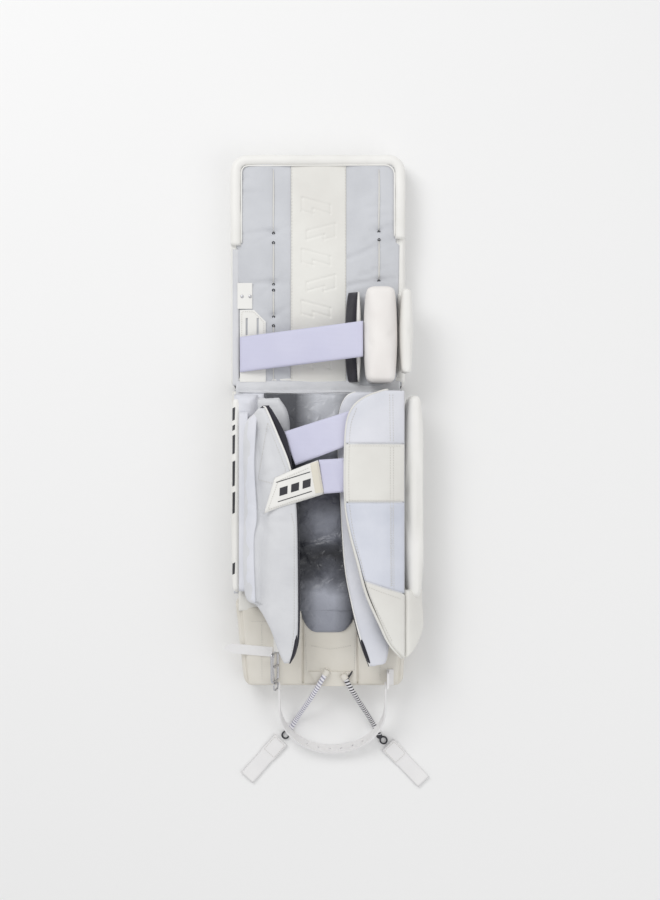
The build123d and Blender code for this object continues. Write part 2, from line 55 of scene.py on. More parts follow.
# places shared by everything, in millimetres in the pad's own frame
mm = 0.001
jointPlace = {j["name"]: [c / mm for c in j["pos_m"]] for j in frame["joints"]}
knee = jointPlace["thigh_flex"]
ankle = jointPlace["boot_flex"]
pad = {"shinLength": 338.0, "bootLength": 140.0, "depth": 50.0, "halfWidth": 139.5, "top": 297.0}
rise = math.atan2(ankle[2] - knee[2], knee[1] - ankle[1])
fall = math.asin(ankle[2] / pad["bootLength"])
bootLine = knee[1] - pad["shinLength"]
bootToe = bootLine - pad["bootLength"]


def toSection(points, section):
    # flat-drawn shin and boot pieces are leaned the way their sections lie
    if section == "row":
        return points
    turn, pivotY, pivotZ, flatY = (-rise, knee[1], knee[2], knee[1]) if section == "shin" \
        else (fall, ankle[1], ankle[2], bootLine)
    out = points.copy()
    dy = points[:, 1] - flatY
    out[:, 1] = pivotY + dy * math.cos(turn) - points[:, 2] * math.sin(turn)
    out[:, 2] = pivotZ + dy * math.sin(turn) + points[:, 2] * math.cos(turn)
    return out


# camera
view = {"x": 19.6, "y": -181.0, "distance": 2600.0, "padBack": 50.0, "frameHeight": 1467.0, "sensor": 36.0}
cameraData = bpy.data.cameras.new("camera")
cameraData.sensor_fit = "VERTICAL"
cameraData.sensor_height = view["sensor"]
cameraData.lens = view["sensor"] * (view["distance"] - view["padBack"]) / view["frameHeight"]
camera = bpy.data.objects.new("camera", cameraData)
camera.location = (view["x"] * mm, view["y"] * mm, view["distance"] * mm)
bpy.context.collection.objects.link(camera)
bpy.context.scene.camera = camera


# materials
def linear(hexColour):
    channels = [int(hexColour[i:i + 2], 16) / 255 for i in (1, 3, 5)]
    return [c / 12.92 if c <= 0.04045 else ((c + 0.055) / 1.055) ** 2.4 for c in channels] + [1.0]


def addNode(tree, kind, settings=None, links=None):
    node = tree.nodes.new(kind)
    for key, value in (settings or {}).items():
        if isinstance(key, str) and hasattr(node, key):
            setattr(node, key, value)
        else:
            node.inputs[key].default_value = value
    for key, (source, output) in (links or {}).items():
        tree.links.new(source.outputs[output], node.inputs[key])
    return node


def newMaterial(name, shader):
    material = bpy.data.materials.new(name)
    material.use_nodes = True
    tree = material.node_tree
    tree.nodes.clear()
    surface = addNode(tree, "ShaderNodeBsdfPrincipled", shader)
    output = addNode(tree, "ShaderNodeOutputMaterial", {}, {"Surface": (surface, "BSDF")})
    return material, tree, surface, output


def pressedLeather(name, look):
    # polyurethane leather pressed with a hide grain: tiny rounded pebbles, a soft shine, faint handling marks
    material, tree, surface, _ = newMaterial(name, {
        "Roughness": look["rough"], "IOR": 1.48, "Coat Weight": 0.12, "Coat Roughness": 0.35})
    place = addNode(tree, "ShaderNodeTexCoord")
    here = {"Vector": (place, "Object")}
    patches = addNode(tree, "ShaderNodeTexNoise", {"Scale": 1 / (look["patch"] * mm), "Detail": 4.0}, here)
    marks = addNode(tree, "ShaderNodeTexNoise", {"Scale": 1 / (look["mark"] * mm), "Detail": 8.0,
                                                 "Roughness": 0.75}, here)
    tone = addNode(tree, "ShaderNodeValToRGB", {}, {"Fac": (patches, "Fac")})
    tone.color_ramp.elements[0].color = linear(look["shade"])
    tone.color_ramp.elements[0].position = 0.3
    tone.color_ramp.elements[1].color = linear(look["colour"])
    tone.color_ramp.elements[1].position = 0.62
    rub = addNode(tree, "ShaderNodeValToRGB", {}, {"Fac": (marks, "Fac")})
    rub.color_ramp.elements[0].position = 0.62
    rub.color_ramp.elements[0].color = (0, 0, 0, 1)
    rub.color_ramp.elements[1].position = 0.8
    rub.color_ramp.elements[1].color = (look["wear"],) * 3 + (1,)
    worn = addNode(tree, "ShaderNodeMix", {"data_type": "RGBA"}, {0: (rub, "Color"), 6: (tone, "Color")})
    worn.inputs[7].default_value = linear(look["rub"])
    tree.links.new(worn.outputs[2], surface.inputs["Base Color"])
    grain = addNode(tree, "ShaderNodeTexVoronoi", {"Scale": 1 / (look["grain"] * mm),
                                                   "feature": "SMOOTH_F1"}, here)
    fine = addNode(tree, "ShaderNodeTexNoise", {"Scale": 1.6 / (look["grain"] * mm), "Detail": 3.0}, here)
    swell = addNode(tree, "ShaderNodeTexNoise", {"Scale": 1 / (look["swell"] * mm), "Detail": 2.0}, here)
    first = addNode(tree, "ShaderNodeBump", {"Strength": 0.35, "Distance": look["swellDepth"] * mm},
                    {"Height": (swell, "Fac")})
    second = addNode(tree, "ShaderNodeBump", {"Strength": 0.2, "Distance": 0.12 * mm},
                     {"Height": (fine, "Fac"), "Normal": (first, "Normal")})
    bump = addNode(tree, "ShaderNodeBump", {"Strength": look["bump"], "Distance": 0.25 * mm},
                   {"Height": (grain, "Distance"), "Normal": (second, "Normal")})
    tree.links.new(bump.outputs["Normal"], surface.inputs["Normal"])
    gloss = addNode(tree, "ShaderNodeMapRange", {"From Min": 0.3, "From Max": 0.7,
                                                 "To Min": look["rough"] - 0.07,
                                                 "To Max": look["rough"] + 0.08}, {"Value": (marks, "Fac")})
    tree.links.new(gloss.outputs["Result"], surface.inputs["Roughness"])
    return material


def wovenCloth(name, look):
    # plain-weave cloth: crossing threads that catch the light, soft creases, colour a little uneven
    material, tree, surface, _ = newMaterial(name, {
        "Roughness": look["rough"], "IOR": 1.45, "Sheen Weight": look["sheen"], "Sheen Roughness": 0.4})
    place = addNode(tree, "ShaderNodeTexCoord")
    here = {"Vector": (place, "Object")}
    # threads are drawn wider than the real half millimetre so that they show
    across = addNode(tree, "ShaderNodeTexWave", {"wave_type": "BANDS", "bands_direction": "X",
                                                 "Scale": 0.314 / (look["thread"] * mm), "Distortion": 0.4},
                     here)
    along = addNode(tree, "ShaderNodeTexWave", {"wave_type": "BANDS", "bands_direction": "Y",
                                                "Scale": 0.314 / (look["thread"] * look["rib"] * mm),
                                                "Distortion": 0.4}, here)
    weave = addNode(tree, "ShaderNodeMath", {"operation": "MULTIPLY"},
                    {0: (across, "Fac"), 1: (along, "Fac")})
    patches = addNode(tree, "ShaderNodeTexNoise", {"Scale": 1 / (look["patch"] * mm), "Detail": 5.0}, here)
    tone = addNode(tree, "ShaderNodeValToRGB", {}, {"Fac": (patches, "Fac")})
    tone.color_ramp.elements[0].color = linear(look["shade"])
    tone.color_ramp.elements[0].position = 0.32
    tone.color_ramp.elements[1].color = linear(look["colour"])
    tone.color_ramp.elements[1].position = 0.66
    threads = addNode(tree, "ShaderNodeMix", {"data_type": "RGBA", "blend_type": "MULTIPLY"},
                      {6: (tone, "Color"), 7: (weave, "Value")})
    threads.inputs[0].default_value = look["contrast"]
    tree.links.new(threads.outputs[2], surface.inputs["Base Color"])
    folds = addNode(tree, "ShaderNodeTexNoise", {"Scale": 1 / (look["fold"] * mm), "Detail": 3.0,
                                                 "Distortion": 0.6}, here)
    creased = addNode(tree, "ShaderNodeBump", {"Strength": 0.5, "Distance": look["foldDepth"] * mm},
                      {"Height": (folds, "Fac")})
    bump = addNode(tree, "ShaderNodeBump", {"Strength": look["bump"], "Distance": 0.3 * mm},
                   {"Height": (weave, "Value"), "Normal": (creased, "Normal")})
    tree.links.new(bump.outputs["Normal"], surface.inputs["Normal"])
    return material


def bentMetal(name, look):
    # bright nickel plate over bent steel wire: mirror-like with fine polishing lines and dull contact marks
    material, tree, surface, _ = newMaterial(name, {"Metallic": 1.0, "Roughness": look["rough"],
                                                    "Base Color": linear(look["colour"])})
    place = addNode(tree, "ShaderNodeTexCoord")
    here = {"Vector": (place, "Object")}
    scratch = addNode(tree, "ShaderNodeTexNoise", {"Scale": 1 / (look["scratch"] * mm), "Detail": 6.0},
                      here)
    gloss = addNode(tree, "ShaderNodeMapRange", {"To Min": look["rough"], "To Max": look["rough"] + 0.25},
                    {"Value": (scratch, "Fac")})
    tree.links.new(gloss.outputs["Result"], surface.inputs["Roughness"])
    bump = addNode(tree, "ShaderNodeBump", {"Strength": 0.2, "Distance": 0.05 * mm},
                   {"Height": (scratch, "Fac")})
    tree.links.new(bump.outputs["Normal"], surface.inputs["Normal"])
    return material


def braidedElastic(name, look):
    # a braided sleeve over rubber: slanted two-colour yarns round the cord, drawn apart where it is stretched
    material, tree, surface, _ = newMaterial(name, {"Roughness": 0.75, "IOR": 1.45, "Sheen Weight": 0.2})
    place = addNode(tree, "ShaderNodeTexCoord")
    turns = addNode(tree, "ShaderNodeMapping", {"Scale": (look["turns"], 2.0, 1.0)},
                    {"Vector": (place, "UV")})
    yarn = addNode(tree, "ShaderNodeTexWave", {"wave_type": "BANDS", "bands_direction": "DIAGONAL",
                                               "Scale": 0.314, "Distortion": 0.6, "Detail": 1.0},
                   {"Vector": (turns, "Vector")})
    tone = addNode(tree, "ShaderNodeValToRGB", {}, {"Fac": (yarn, "Fac")})
    tone.color_ramp.elements[0].color = linear(look["dark"])
    tone.color_ramp.elements[0].position = 0.32
    tone.color_ramp.elements[1].color = linear(look["light"])
    tone.color_ramp.elements[1].position = 0.5
    tree.links.new(tone.outputs["Color"], surface.inputs["Base Color"])
    bump = addNode(tree, "ShaderNodeBump", {"Strength": 0.6, "Distance": 0.6 * mm},
                   {"Height": (yarn, "Fac")})
    tree.links.new(bump.outputs["Normal"], surface.inputs["Normal"])
    return material


leather = {"colour": "#EFEEEB", "shade": "#E7E6E2", "rub": "#D6D4CD", "wear": 0.25, "rough": 0.5,
           "patch": 90.0, "mark": 22.0, "grain": 1.5, "bump": 0.28, "swell": 30.0, "swellDepth": 1.6}
whiteLeather = pressedLeather("pressed_polyurethane_leather_white", leather)
warmLeather = pressedLeather("pressed_polyurethane_leather_warm", {
    **leather, "colour": "#F1EEEB", "shade": "#E9E5E2", "grain": 1.8})
creamLeather = pressedLeather("pressed_polyurethane_leather_cream", {
    **leather, "colour": "#E6E5E0", "shade": "#DEDCD7", "rub": "#CFCCC4"})
# a darker copy of the cream leather: painted shade for the boot sloping away from the light, with heavier rub
# marks
bootLeatherPaintedShade = pressedLeather("pressed_polyurethane_leather_cream_painted_shade", {
    **leather, "colour": "#E1DDD4", "shade": "#D6D1C6", "rub": "#C6C0B2", "wear": 0.4})
beigeLeather = pressedLeather("pressed_polyurethane_leather_beige", {
    **leather, "colour": "#E6E1D3", "shade": "#DCD6C7", "rub": "#C9C2B0"})
nylon = {"colour": "#D3D5DA", "shade": "#C8CACF", "rough": 0.62, "sheen": 0.25, "thread": 1.3, "rib": 1.0,
         "patch": 70.0, "contrast": 0.06, "fold": 38.0, "foldDepth": 3.0, "bump": 0.25}
greyNylon = wovenCloth("woven_nylon_pale_grey", nylon)
whiteNylon = wovenCloth("woven_nylon_white", {**nylon, "colour": "#E6E7EE", "shade": "#DBDDE5"})
leafNylon = wovenCloth("woven_nylon_silver", {**nylon, "colour": "#E1E2E5", "shade": "#D4D5D9"})
blueNylon = wovenCloth("woven_nylon_shaded_blue", {**nylon, "colour": "#DDE0EA", "shade": "#C3C8D6",
                                                   "patch": 130.0})
elasticLook = {**nylon, "colour": "#DCDCF0", "shade": "#D3D3EA", "thread": 1.1, "rib": 1.8, "contrast": 0.1,
               "patch": 120.0, "fold": 90.0, "foldDepth": 1.0, "rough": 0.8, "bump": 0.45}
wovenElastic = wovenCloth("knitted_elastic_webbing_lavender", elasticLook)
liningCloth = wovenCloth("brushed_tricot_charcoal", {
    **nylon, "colour": "#3B3A44", "shade": "#2C2B33", "thread": 1.0, "rough": 0.85, "sheen": 0.5,
    "contrast": 0.3})


def calenderedSatin(name, look):
    # calendered satin nylon, silvery to deep slate: painted highlights and painted fold shade in bands from
    # toe to knee, and painted shade darkening both sides under the wraps
    material, tree, surface, _ = newMaterial(name, {"Roughness": look["rough"], "IOR": 1.5,
                                                    "Sheen Weight": 0.3, "Sheen Roughness": 0.35})
    place = addNode(tree, "ShaderNodeTexCoord")
    here = {"Vector": (place, "Object")}
    split = addNode(tree, "ShaderNodeSeparateXYZ", {}, here)
    stray = addNode(tree, "ShaderNodeTexNoise", {"Scale": 1 / (34 * mm), "Detail": 3.0}, here)
    drift = addNode(tree, "ShaderNodeMath", {"operation": "MULTIPLY_ADD", 1: 0.05},
                    {0: (stray, "Fac"), 2: (split, "Y")})
    length = addNode(tree, "ShaderNodeMapRange", {"From Min": look["toe"] * mm,
                                                  "From Max": look["knee"] * mm},
                     {"Value": (drift, "Value")})
    # painted highlights and painted shade of the folds, in bands from the toe to the knee
    along = addNode(tree, "ShaderNodeValToRGB", {}, {"Fac": (length, "Result")})
    ramp = along.color_ramp
    while len(ramp.elements) < len(look["paintedLightTones"]):
        ramp.elements.new(0.5)
    for element, (position, colour) in zip(ramp.elements, look["paintedLightTones"]):
        element.position = position
        element.color = linear(colour)
    # painted shade towards both sides of the channel, where the wraps hang over it
    middle = addNode(tree, "ShaderNodeMath", {"operation": "SUBTRACT", 1: look["middle"] * mm},
                     {0: (split, "X")})
    reach = addNode(tree, "ShaderNodeMath", {"operation": "ABSOLUTE"}, {0: (middle, "Value")})
    side = addNode(tree, "ShaderNodeMapRange", {"From Min": 14 * mm, "From Max": 48 * mm, "To Min": 0.0,
                                                "To Max": 0.92}, {"Value": (reach, "Value")})
    shaded = addNode(tree, "ShaderNodeMix", {"data_type": "RGBA"},
                     {0: (side, "Result"), 6: (along, "Color")})
    shaded.inputs[7].default_value = linear(look["deep"])
    tree.links.new(shaded.outputs[2], surface.inputs["Base Color"])
    folds = addNode(tree, "ShaderNodeTexNoise", {"Scale": 1 / (17 * mm), "Detail": 3.0, "Distortion": 1.2},
                    here)
    bump = addNode(tree, "ShaderNodeBump", {"Strength": 0.45, "Distance": 5.0 * mm},
                   {"Height": (folds, "Fac")})
    tree.links.new(bump.outputs["Normal"], surface.inputs["Normal"])
    return material


# the tones are painted highlights and painted fold shade along the channel; deep is the painted shade under
# the wraps at both sides
satinCloth = calenderedSatin("satin_nylon_slate_painted_sheen_and_shade", {
    "rough": 0.3, "toe": -500.0, "knee": -92.0, "middle": 12.0, "deep": "#2E3037",
    "paintedLightTones": [(0.0, "#B3B6BE"), (0.12, "#8E919C"), (0.26, "#A9ACB7"), (0.36, "#4A4C55"), (0.41, "#1F2026"),
              (0.46, "#3A3C44"), (0.56, "#9295A1"), (0.66, "#5A5C66"), (0.8, "#9A9CA5"), (1.0, "#CDCFD5")]})
gripCloth = wovenCloth("woven_polyester_webbing_white", {
    **nylon, "colour": "#F7F6F6", "shade": "#F0EFF0", "thread": 1.2, "rib": 1.4, "contrast": 0.12,
    "foldDepth": 1.0})
laceCord = wovenCloth("braided_polyester_lace_white", {
    **nylon, "colour": "#F2F1EE", "shade": "#E8E6E0", "thread": 0.9, "contrast": 0.2, "bump": 0.6,
    "foldDepth": 0.5})
thread = wovenCloth("bonded_sewing_thread_ivory", {
    **nylon, "colour": "#E3E1DB", "shade": "#D8D6CF", "thread": 0.7, "contrast": 0.2, "foldDepth": 0.3})


def closedFoam(name, look):
    # closed-cell foam: tiny round cells and the slightly mottled colour of a moulded block
    material, tree, surface, _ = newMaterial(name, {"Roughness": look["rough"], "IOR": 1.45})
    place = addNode(tree, "ShaderNodeTexCoord")
    here = {"Vector": (place, "Object")}
    mottle = addNode(tree, "ShaderNodeTexNoise", {"Scale": 1 / (look["patch"] * mm), "Detail": 5.0}, here)
    ramp = addNode(tree, "ShaderNodeValToRGB", {}, {"Fac": (mottle, "Fac")})
    ramp.color_ramp.elements[0].position = 0.35
    ramp.color_ramp.elements[0].color = linear(look["shade"])
    ramp.color_ramp.elements[1].position = 0.65
    ramp.color_ramp.elements[1].color = linear(look["colour"])
    tree.links.new(ramp.outputs["Color"], surface.inputs["Base Color"])
    cells = addNode(tree, "ShaderNodeTexVoronoi", {"Scale": 1 / (look["cell"] * mm)}, here)
    bump = addNode(tree, "ShaderNodeBump", {"Strength": look["depth"], "Distance": 0.12 * mm},
                   {"Height": (cells, "Distance")})
    tree.links.new(bump.outputs["Normal"], surface.inputs["Normal"])
    return material


# the block inside each section gives a matt, finely pitted cut where a seam stands open
foamBlock = closedFoam("closed_cell_foam_charcoal", {
    "colour": "#4C4C50", "shade": "#3F3F43", "patch": 22.0, "cell": 0.9, "rough": 0.9, "depth": 0.5})
# the stiffening board is smoother, with a faint sheen from its rolled face
rolledBoard = closedFoam("rolled_polyethylene_sheet_grey", {
    "colour": "#C4C6C9", "shade": "#B6B8BC", "patch": 60.0, "cell": 3.0, "rough": 0.45, "depth": 0.12})
markInk = pressedLeather("screen_printed_leather_charcoal", {
    **leather, "colour": "#34343A", "shade": "#26262B", "rub": "#55555C", "rough": 0.55})
nickelSteel = bentMetal("nickel_plated_steel", {"colour": "#C9C9CC", "rough": 0.18, "scratch": 1.2})
blackenedBrass = bentMetal("blackened_brass_eyelet", {"colour": "#4A4A4E", "rough": 0.35, "scratch": 1.0})
greyBraid = braidedElastic("braided_elastic_cord_grey", {"dark": "#A3A2B4", "light": "#F0EFF4",
                                                         "turns": 56.0})
blackBraid = braidedElastic("braided_elastic_cord_black", {"dark": "#2E2D33", "light": "#E6E5E8",
                                                           "turns": 56.0})
print("materials ready", len(bpy.data.materials))


# mesh helpers
def settle(piece, body, node=None, slot=None):
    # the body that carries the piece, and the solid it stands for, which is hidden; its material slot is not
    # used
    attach(piece, body)
    if node:
        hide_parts(node)


def dress(node, material, bevelWidth=0.0, segments=2, angle=math.radians(30)):
    # a solid carried over from the frame gets its finish and softened edges
    part = frame["nodes"][node]
    part.data.materials.clear()
    part.data.materials.append(material)
    if bevelWidth:
        bevel = part.modifiers.new("bevel", "BEVEL")
        bevel.width = bevelWidth * mm
        bevel.segments = segments
        bevel.angle_limit = angle
    return part


def closedSheet(rows, cols):
    # the faces of two layers of rows by cols points, joined round their edges
    at = lambda i, j, layer: (layer * rows + i) * cols + j
    faces = []
    for i in range(rows - 1):
        for j in range(cols - 1):
            faces.append((at(i, j, 0), at(i, j + 1, 0), at(i + 1, j + 1, 0), at(i + 1, j, 0)))
            faces.append((at(i, j, 1), at(i + 1, j, 1), at(i + 1, j + 1, 1), at(i, j + 1, 1)))
        for j in (0, cols - 1):
            faces.append((at(i, j, 0), at(i + 1, j, 0), at(i + 1, j, 1), at(i, j, 1)))
    for j in range(cols - 1):
        for i in (0, rows - 1):
            faces.append((at(i, j, 0), at(i, j, 1), at(i, j + 1, 1), at(i, j + 1, 0)))
    return faces


def makePiece(name, points, faces, material, section="row", smooth=True):
    placed = toSection(np.asarray(points, dtype=float), section) * mm
    mesh = bpy.data.meshes.new(name)
    mesh.from_pydata(placed.tolist(), [], faces)
    mesh.materials.append(material)
    mesh.polygons.foreach_set("use_smooth", [smooth] * len(mesh.polygons))
    piece = bpy.data.objects.new(name, mesh)
    bpy.context.collection.objects.link(piece)
    tidy = bmesh.new()
    tidy.from_mesh(mesh)
    bmesh.ops.recalc_face_normals(tidy, faces=tidy.faces)
    tidy.to_mesh(mesh)
    tidy.free()
    return piece


def leaf(name, rows, cols, spot, material, smooth=True):
    # a thin closed piece of two layers: spot(t, s, layer) places each point, t along it and s across it
    points = [spot(i / (rows - 1), j / (cols - 1), layer)
              for layer in (0, 1) for i in range(rows) for j in range(cols)]
    return makePiece(name, points, closedSheet(rows, cols), material, smooth=smooth)


def smoothLine(points, count=60):
    # a Catmull-Rom curve through the points
    p = np.asarray(points, dtype=float)
    p = np.vstack([2 * p[0] - p[1], p, 2 * p[-1] - p[-2]])
    spans = len(p) - 3
    out = []
    for k in np.linspace(0, spans - 1e-9, count):
        i = int(k)
        t = k - i
        a, b, c, d = p[i], p[i + 1], p[i + 2], p[i + 3]
        out.append(0.5 * (2 * b + (c - a) * t + (2 * a - 5 * b + 4 * c - d) * t ** 2
                          + (3 * b - a - 3 * c + d) * t ** 3))
    return np.array(out)


def sideLine(points):
    # an edge of an outline as a function of y, from points listed as (y, x)
    if isinstance(points, (int, float)):
        return lambda y: np.full_like(y, float(points))
    line = smoothLine(points, 80) if len(points) > 2 else np.array(points, dtype=float)
    line = line[np.argsort(line[:, 0])]
    return lambda y: np.interp(y, line[:, 0], line[:, 1])


def softNoise(x, y, size, seed):
    rng = np.random.default_rng(seed)
    total = np.zeros_like(x)
    for _ in range(6):
        angle = rng.uniform(0, 2 * math.pi)
        k = 2 * math.pi / (size * rng.uniform(0.6, 1.7))
        total += np.sin(k * (x * math.cos(angle) + y * math.sin(angle)) + rng.uniform(0, 6.28))
    return total / 6


def creaseDepth(x, y, creases):
    # each crease is (x0, y0, x1, y1, depth, width): a soft furrow that fades towards its far end
    total = np.zeros_like(x)
    for x0, y0, x1, y1, depth, width in creases:
        dx, dy = x1 - x0, y1 - y0
        long2 = dx * dx + dy * dy
        t = np.clip(((x - x0) * dx + (y - y0) * dy) / long2, 0, 1)
        d = np.hypot(x - x0 - t * dx, y - y0 - t * dy)
        total += depth * (1 - 0.75 * t) * np.exp(-(d / width) ** 2)
    return total


def flatAt(z):
    return lambda x, y: (np.stack([x, y, np.full_like(x, z)], -1), np.stack([0 * x, 0 * x, 0 * x + 1], -1))


def roundAt(centerX, centerZ, radius):
    def surface(x, y):
        dx = np.clip(x - centerX, -radius * 0.98, radius * 0.98)
        up = np.sqrt(radius ** 2 - dx ** 2)
        normal = np.stack([dx / radius, 0 * x, up / radius], -1)
        return np.stack([x, y, centerZ + up], -1), normal
    return surface


def steps(count, edge):
    # positions from 0 to 1, closer together near both ends
    near = np.array([0, 0.12, 0.35, 0.65, 1.0]) * edge
    middle = np.linspace(edge, 1 - edge, count)[1:-1]
    return np.concatenate([near, middle, 1 - near[::-1]])


def quilt(name, look, material, surface, section="row"):
    # a stuffed or stitched panel between two side lines, raised off a surface, with round edges and creases
    left, right = sideLine(look["left"]), sideLine(look["right"])
    y0, y1 = look["low"], look["high"]
    tall, wide = abs(y1 - y0), np.max(right(np.array([y0, (y0 + y1) / 2, y1]))
                                      - left(np.array([y0, (y0 + y1) / 2, y1])))
    edge = look.get("edge", 4.0)
    rows = steps(max(6, int(tall / look.get("cell", 4.5))), min(0.3, edge / tall))
    cols = steps(max(6, int(wide / look.get("cell", 4.5))), min(0.3, edge / wide))
    y = np.repeat((y0 + (y1 - y0) * rows)[:, None], len(cols), 1)
    lx, rx = left(y[:, 0])[:, None], right(y[:, 0])[:, None]
    rx = np.maximum(rx, lx + 1.0)
    x = lx + (rx - lx) * cols[None, :]
    if "skewHigh" in look or "skewLow" in look:
        high = look.get("skewHigh", 0.0)
        low = look.get("skewLow", 0.0)
        t = rows[:, None]
        y = y + (x - (lx + rx) / 2) * (low * (1 - t) + high * t)
    gap = np.minimum(np.minimum(x - lx, rx - x), np.minimum((y1 - y0) * rows,
                                                            (y1 - y0) * (1 - rows))[:, None] + 0 * x)
    roundness = np.sqrt(np.clip(1 - (1 - np.clip(gap / edge, 0, 1)) ** 2, 0, 1))
    across = (x - lx) / (rx - lx)
    height = look["thick"] * roundness
    height = height + look.get("crown", 0.0) * np.sin(np.pi * np.clip(across, 0, 1)) ** 0.7 * roundness
    height = height + look.get("ripple", 0.0) * softNoise(x, y, look.get("rippleSize", 30.0),
                                                          look.get("seed", 1)) * roundness
    height = height - creaseDepth(x, y, look.get("creases", [])) * roundness
    base, normal = surface(x, y)
    if "sink" in look:
        base = base + look["sink"](x, y)[..., None] * np.array([0, 0, 1.0])
    top = base + normal * np.maximum(height, 0.05)[..., None]
    n, m = x.shape
    points = np.vstack([top.reshape(-1, 3), (base + 0 * top).reshape(-1, 3)])
    faces = closedSheet(n, m)
    return makePiece(name, points, faces, material, section)


def circle(count):
    # angles evenly spaced once round
    return np.linspace(0, 2 * math.pi, count, endpoint=False)


def tube(name, path, radius, material, section="row", closed=False, sides=10, flat=1.0, taper=False):
    p = np.asarray(path, dtype=float)
    tangent = np.gradient(p, axis=0)
    if closed:
        tangent = np.roll(p, -1, 0) - np.roll(p, 1, 0)
    tangent /= np.linalg.norm(tangent, axis=1)[:, None]
    side = np.cross(tangent[0], [0, 0, 1.0])
    if np.linalg.norm(side) < 0.1:
        side = np.cross(tangent[0], [1.0, 0, 0])
    rings = []
    for k, (point, t) in enumerate(zip(p, tangent)):
        side = side - t * np.dot(side, t)
        side /= np.linalg.norm(side)
        up = np.cross(side, t)
        r = radius * (1 if not taper
                      else max(0.05, math.sin(math.pi * (0.04 + 0.92 * k / (len(p) - 1))) ** 0.35))
        angles = circle(sides)
        rings.append(point + r * (np.cos(angles)[:, None] * side + flat * np.sin(angles)[:, None] * up))
    points = np.vstack(rings)
    count = len(p)
    faces = []
    for k in range(count if closed else count - 1):
        for s in range(sides):
            a, b = k * sides + s, k * sides + (s + 1) % sides
            c, d = ((k + 1) % count) * sides + (s + 1) % sides, ((k + 1) % count) * sides + s
            faces.append((a, b, c, d))
    if not closed:
        faces.append(tuple(range(sides))[::-1])
        faces.append(tuple((count - 1) * sides + s for s in range(sides)))
    return makePiece(name, points, faces, material, section)


def treeOf(pieces):
    points, faces = [], []
    for piece in pieces:
        start = len(points)
        points += [v.co.copy() for v in piece.data.vertices]
        faces += [[start + i for i in face.vertices] for face in piece.data.polygons]
    return BVHTree.FromPolygons(points, faces)


def dropOn(tree, x, y):
    hit, normal, _, _ = tree.ray_cast(Vector((x * mm, y * mm, 0.4)), Vector((0, 0, -1)))
    return (np.array(hit) / mm, np.array(normal)) if hit else (None, None)


def spaced(line, gap):
    p = np.asarray(line, dtype=float)
    lengths = np.concatenate([[0], np.cumsum(np.linalg.norm(np.diff(p, axis=0), axis=1))])
    count = max(2, int(round(lengths[-1] / gap)) + 1)
    at = np.linspace(0, lengths[-1], count)
    return np.stack([np.interp(at, lengths, p[:, k]) for k in range(p.shape[1])], -1)


stitchLook = {"gap": 4.2, "length": 3.0, "radius": 0.42, "sides": 6}


def seam(name, line, onto, body, material=None, gap=None, smooth=False, lift=0.1):
    # a row of thread stitches dropped onto the pieces that it is sewn through
    path = smoothLine(line) if smooth else np.asarray(line, dtype=float)
    tree = treeOf(onto)
    step = gap or stitchLook["gap"]
    spots = spaced(path, step)
    points, faces = [], []
    for a, b in zip(spots[:-1], spots[1:]):
        share = stitchLook["length"] / stitchLook["gap"]
        ends = [a + (b - a) * (0.5 - share / 2), a + (b - a) * (0.5 + share / 2)]
        middle, normal = dropOn(tree, *((a + b) / 2))
        hits = [dropOn(tree, *e)[0] for e in ends]
        if middle is None or any(h is None for h in hits):
            continue
        along = hits[1] - hits[0]
        if np.linalg.norm(along) > 2.5 * step:
            continue
        along /= np.linalg.norm(along)
        side = np.cross(along, normal)
        start = len(points)
        r = stitchLook["radius"]
        for t, scale, up in ((0, 0.35, -0.2), (0.25, 1, 0.15), (0.5, 1.05, 0.28), (0.75, 1, 0.15),
                             (1, 0.35, -0.2)):
            centre = hits[0] * (1 - t) + hits[1] * t + normal * (up + lift)
            for s in range(stitchLook["sides"]):
                turn = 2 * math.pi * s / stitchLook["sides"]
                points.append(centre + r * scale * (math.cos(turn) * side + math.sin(turn) * normal))
        n = stitchLook["sides"]
        for k in range(4):
            for s in range(n):
                faces.append((start + k * n + s, start + k * n + (s + 1) % n,
                              start + (k + 1) * n + (s + 1) % n, start + (k + 1) * n + s))
        faces.append(tuple(start + s for s in range(n))[::-1])
        faces.append(tuple(start + 4 * n + s for s in range(n)))
    if not points:
        print("no stitches for", name)
        return None
    piece = makePiece(name, points, faces, material or thread)
    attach(piece, body)
    return piece


def ringOutline(points, inset):
    # a closed outline moved inwards by inset, or outwards where that is negative
    p = np.asarray(points, dtype=float)
    t = np.roll(p, -1, 0) - np.roll(p, 1, 0)
    t /= np.linalg.norm(t, axis=1)[:, None]
    return p + np.stack([-t[:, 1], t[:, 0]], -1) * inset


def roundedOutline(corners, radii, gap=5.0):
    # corners anticlockwise, each with its own rounding
    path = []
    count = len(corners)
    for k in range(count):
        a, b, c = (np.array(corners[(k + d) % count], dtype=float) for d in (-1, 0, 1))
        r = radii[k]
        u, v = (a - b) / np.linalg.norm(a - b), (c - b) / np.linalg.norm(c - b)
        half = math.acos(np.clip(np.dot(u, v), -1, 1)) / 2
        reach = r / math.tan(half)
        for t in np.linspace(0, 1, 9):
            path.append((1 - t) ** 2 * (b + u * reach) + 2 * t * (1 - t) * b + t ** 2 * (b + v * reach))
    path.append(path[0])
    return spaced(path, gap)[:-1]


